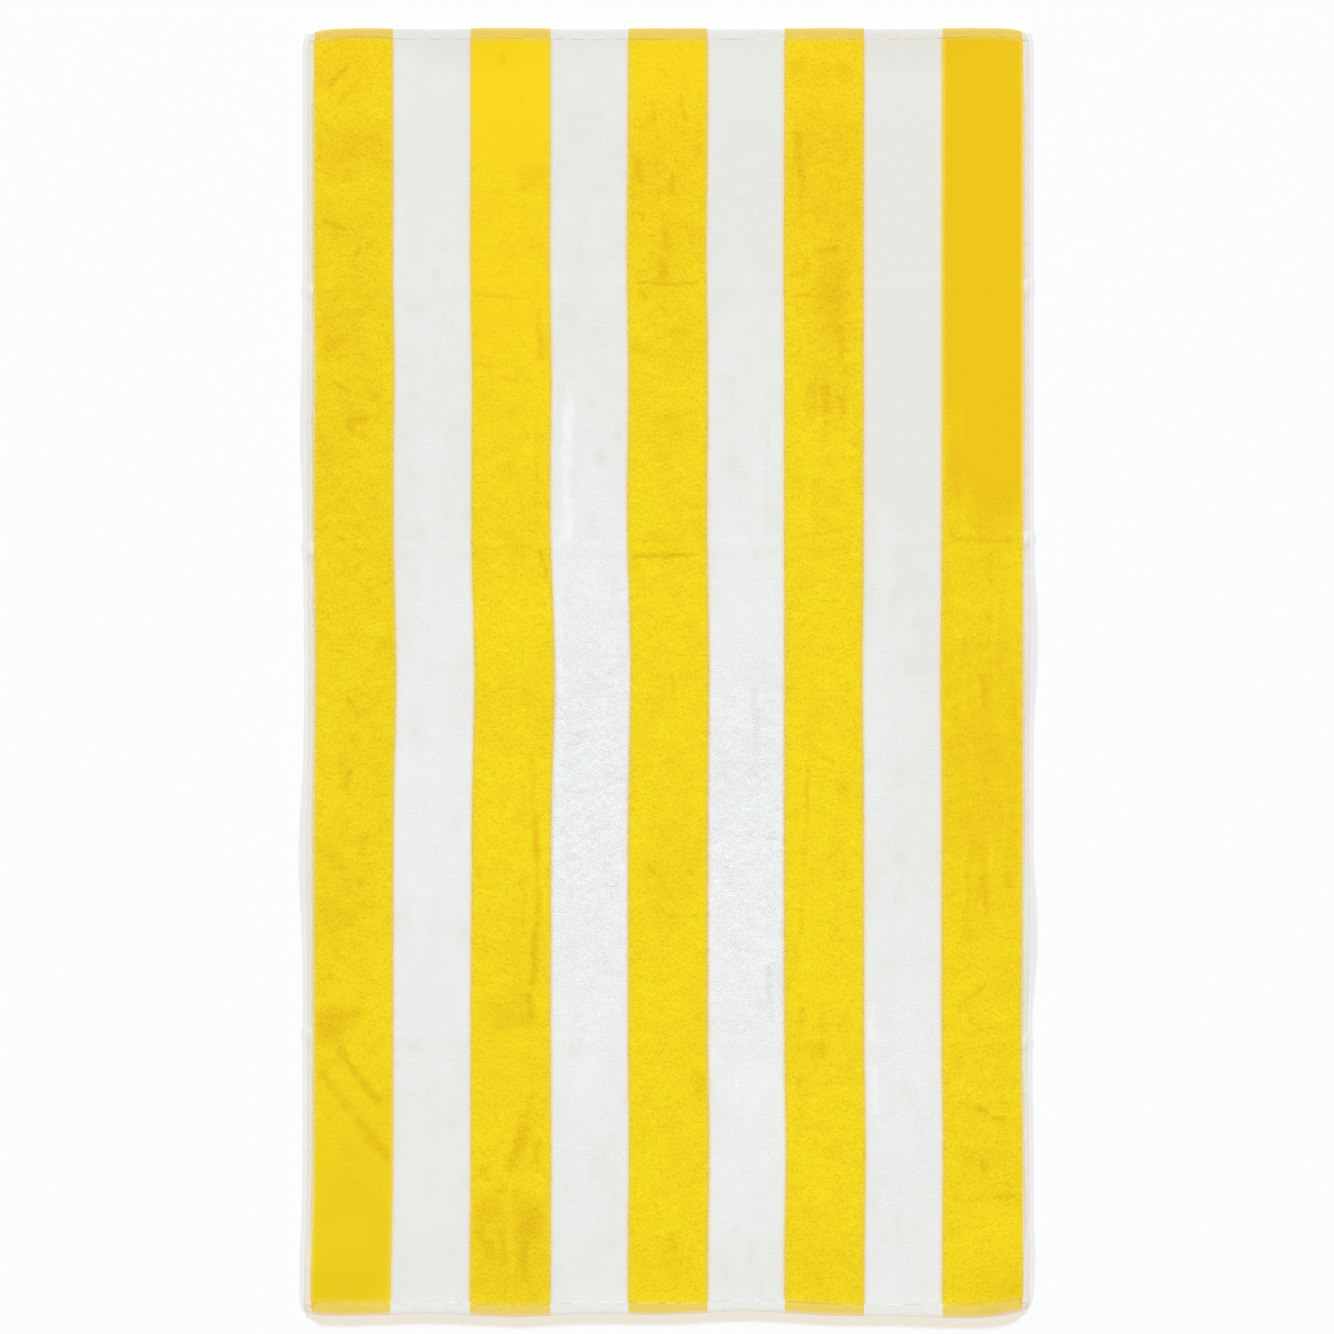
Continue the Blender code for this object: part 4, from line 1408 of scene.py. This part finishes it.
class StageSettings(bpy.types.PropertyGroup):
    """Camera and light. Each light's share is the part of a level floor's light that it gives."""

    picture_width: length_property("Picture width", "Width of the floor that the picture shows", 1.6588)
    aim_x: bpy.props.FloatProperty(name="Aim X", description="Point under the lens", default=0.00046)
    aim_y: bpy.props.FloatProperty(name="Aim Y", description="Point under the lens", default=0.0073)
    lens: bpy.props.FloatProperty(name="Lens", description="Focal length in mm", default=85.0)
    fill: share_property("Fill share", "Even, warm light from all round", (0.54, 0.48, 0.38))
    key: share_property("Key share", "Cool light from beyond the top", (0.14, 0.20, 0.30))
    side: share_property("Side share", "Light from each side", (0.16, 0.16, 0.16))


class TOWEL_OT_cloth(bpy.types.Operator):
    """Makes the ground cloth, both selvedges, both hems and their stitching."""

    bl_idname = "towel.make_cloth"
    bl_label = "Make ground cloth and hems"

    def execute(self, context):
        sizes, colours = context.scene.towel_sizes, context.scene.towel_colours
        cloth = Cloth(sizes)
        groups = {"tufts": pile_tufts(), "ribs": woven_ribs(), "stripes": stripe_mask()}
        weave = make_material("flat_weave", weave_paint, groups, sizes, colours)
        thread = make_material("hem_thread", thread_paint, groups, sizes, colours)
        back = make_material("looped_back", back_paint, groups, sizes, colours)
        ground = ground_cloth(cloth, sizes, back)
        pieces = [
            woven_band("hem_top", True, 1, cloth, sizes, weave),
            woven_band("hem_bottom", True, -1, cloth, sizes, weave),
            woven_band("selvedge_left", False, -1, cloth, sizes, weave),
            woven_band("selvedge_right", False, 1, cloth, sizes, weave),
            hem_stitches("hem_stitches_top", 1, cloth, sizes, thread),
            hem_stitches("hem_stitches_bottom", -1, cloth, sizes, thread),
        ]
        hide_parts("beach_towel")
        return {"FINISHED"}


class TOWEL_OT_pile(bpy.types.Operator):
    """Makes the pile of the five yellow and four white stripes."""

    bl_idname = "towel.make_pile"
    bl_label = "Make pile stripes"

    def execute(self, context):
        """Makes the stripes from the left to the right, with the yellow ones at even numbers."""
        sizes, colours = context.scene.towel_sizes, context.scene.towel_colours
        cloth = Cloth(sizes)
        groups = {"tufts": pile_tufts(), "nap": brushed_nap()}
        yellow = {
            "bright": colours.yellow,
            "brushed": colours.yellow_brushed,
            "border": colours.yellow_border,
            "hem": colours.yellow_hem,
        }
        white = {
            "bright": colours.white,
            "brushed": colours.white_brushed_and_shaded,
            "border": colours.white_border,
            "hem": colours.white_brushed_and_shaded,
        }
        materials = {
            "yellow": make_material("yellow_pile", pile_paint, groups, PILE_KINDS["yellow"], yellow),
            "white": make_material("white_pile", pile_paint, groups, PILE_KINDS["white"], white),
        }
        for number in range(-4, 5):
            word = "white" if number % 2 else "yellow"
            name = f"pile_{word}_{(number + 5) // 2 if number % 2 else number // 2 + 3}"
            pile_stripe(name, number, cloth, sizes, PILE_KINDS[word], materials[word])
        return {"FINISHED"}


class TOWEL_OT_stage(bpy.types.Operator):
    """Makes the floor, the lights and the camera that looks straight down."""

    bl_idname = "towel.make_stage"
    bl_label = "Make stage"

    def execute(self, context):
        """Makes the stage, with the floor's own colour beyond its edges."""
        scene, stage = context.scene, context.scene.towel_stage
        pale = scene.towel_colours.floor
        make_floor(pale)
        make_lights(scene, stage, pale)
        make_camera(scene, stage)
        return {"FINISHED"}


def make_floor(pale):
    """A wide flat plane at the height that the towel lies on."""
    mesh = bpy.data.meshes.new("floor")
    shape = bmesh.new()
    bmesh.ops.create_grid(shape, x_segments=1, y_segments=1, size=FLOOR_HALF_WIDTH)
    bmesh.ops.translate(shape, verts=shape.verts, vec=(0.0, 0.0, CAD_BOX[0][2] - FLOOR_BELOW))
    shape.to_mesh(mesh)
    shape.free()
    mesh.materials.append(make_material("pale_floor", floor_paint, pale))
    floor = bpy.data.objects.new("floor", mesh)
    bpy.context.scene.collection.objects.link(floor)


def make_lights(scene, stage, beyond_floor):
    """A low key light from beyond the top of the towel, softer ones from both sides, and a fill.

    A light's strength is its share times pi over the sine of its height above the floor. Beyond
    the floor the camera sees the floor's own colour.
    """
    for row in rows(LIGHT_COLUMNS, LIGHTS):
        light = bpy.data.lights.new(row["name"], "SUN")
        light.color = getattr(stage, row["share"])
        light.energy = math.pi / math.sin(math.radians(row["from_level"]))
        light.angle = math.radians(row["spread"])
        lamp = bpy.data.objects.new(row["name"], light)
        lamp.rotation_euler = (math.radians(row["from_level"] - 90.0), 0.0, math.radians(row["turn"]))
        scene.collection.objects.link(lamp)
    world = bpy.data.worlds.new("surround")
    world.use_nodes = True
    tree = world.node_tree
    to_camera = add_node(tree, "ShaderNodeLightPath").outputs["Is Camera Ray"]
    colour = mixed(tree, to_camera, (*stage.fill, 1.0), beyond_floor)
    tree.links.new(colour, tree.nodes["Background"].inputs["Color"])
    tree.nodes["Background"].inputs["Strength"].default_value = 1.0
    scene.world = world
    scene.view_settings.view_transform = "Standard"


def make_camera(scene, stage):
    """A camera straight above: its height is the picture's width times the lens over the sensor."""
    lens = bpy.data.cameras.new("camera")
    lens.lens = stage.lens
    lens.sensor_width = SENSOR_WIDTH
    camera = bpy.data.objects.new("camera", lens)
    height = stage.picture_width * stage.lens / lens.sensor_width
    camera.location = (stage.aim_x, stage.aim_y, height)
    scene.collection.objects.link(camera)
    scene.camera = camera


class TOWEL_PT_panel(bpy.types.Panel):
    """Sidebar panel with the towel's settings and operators."""

    bl_label = "Beach towel"
    bl_idname = "TOWEL_PT_panel"
    bl_space_type = "VIEW_3D"
    bl_region_type = "UI"
    bl_category = "Towel"

    def draw(self, context):
        """Lists each setting and then each operator."""
        for settings in ("towel_sizes", "towel_colours", "towel_stage"):
            group = getattr(context.scene, settings)
            for name in group.bl_rna.properties.keys():
                if name not in ("rna_type", "name"):
                    self.layout.prop(group, name)
        for operator in ("towel.make_cloth", "towel.make_pile", "towel.make_stage"):
            self.layout.operator(operator)


CLASSES = (
    TowelSizes,
    TowelColours,
    StageSettings,
    TOWEL_OT_cloth,
    TOWEL_OT_pile,
    TOWEL_OT_stage,
    TOWEL_PT_panel,
)


def register():
    """Registers the classes and gives every scene the towel's settings."""
    for kind in CLASSES:
        bpy.utils.register_class(kind)
    bpy.types.Scene.towel_sizes = bpy.props.PointerProperty(type=TowelSizes)
    bpy.types.Scene.towel_colours = bpy.props.PointerProperty(type=TowelColours)
    bpy.types.Scene.towel_stage = bpy.props.PointerProperty(type=StageSettings)


def unregister():
    """Takes the settings and the classes out again."""
    del bpy.types.Scene.towel_stage
    del bpy.types.Scene.towel_colours
    del bpy.types.Scene.towel_sizes
    for kind in reversed(CLASSES):
        bpy.utils.unregister_class(kind)


def main():
    """Makes the towel and its stage."""
    register()
    bpy.ops.towel.make_cloth()
    bpy.ops.towel.make_pile()
    bpy.ops.towel.make_stage()


if __name__ == "__main__":
    main()
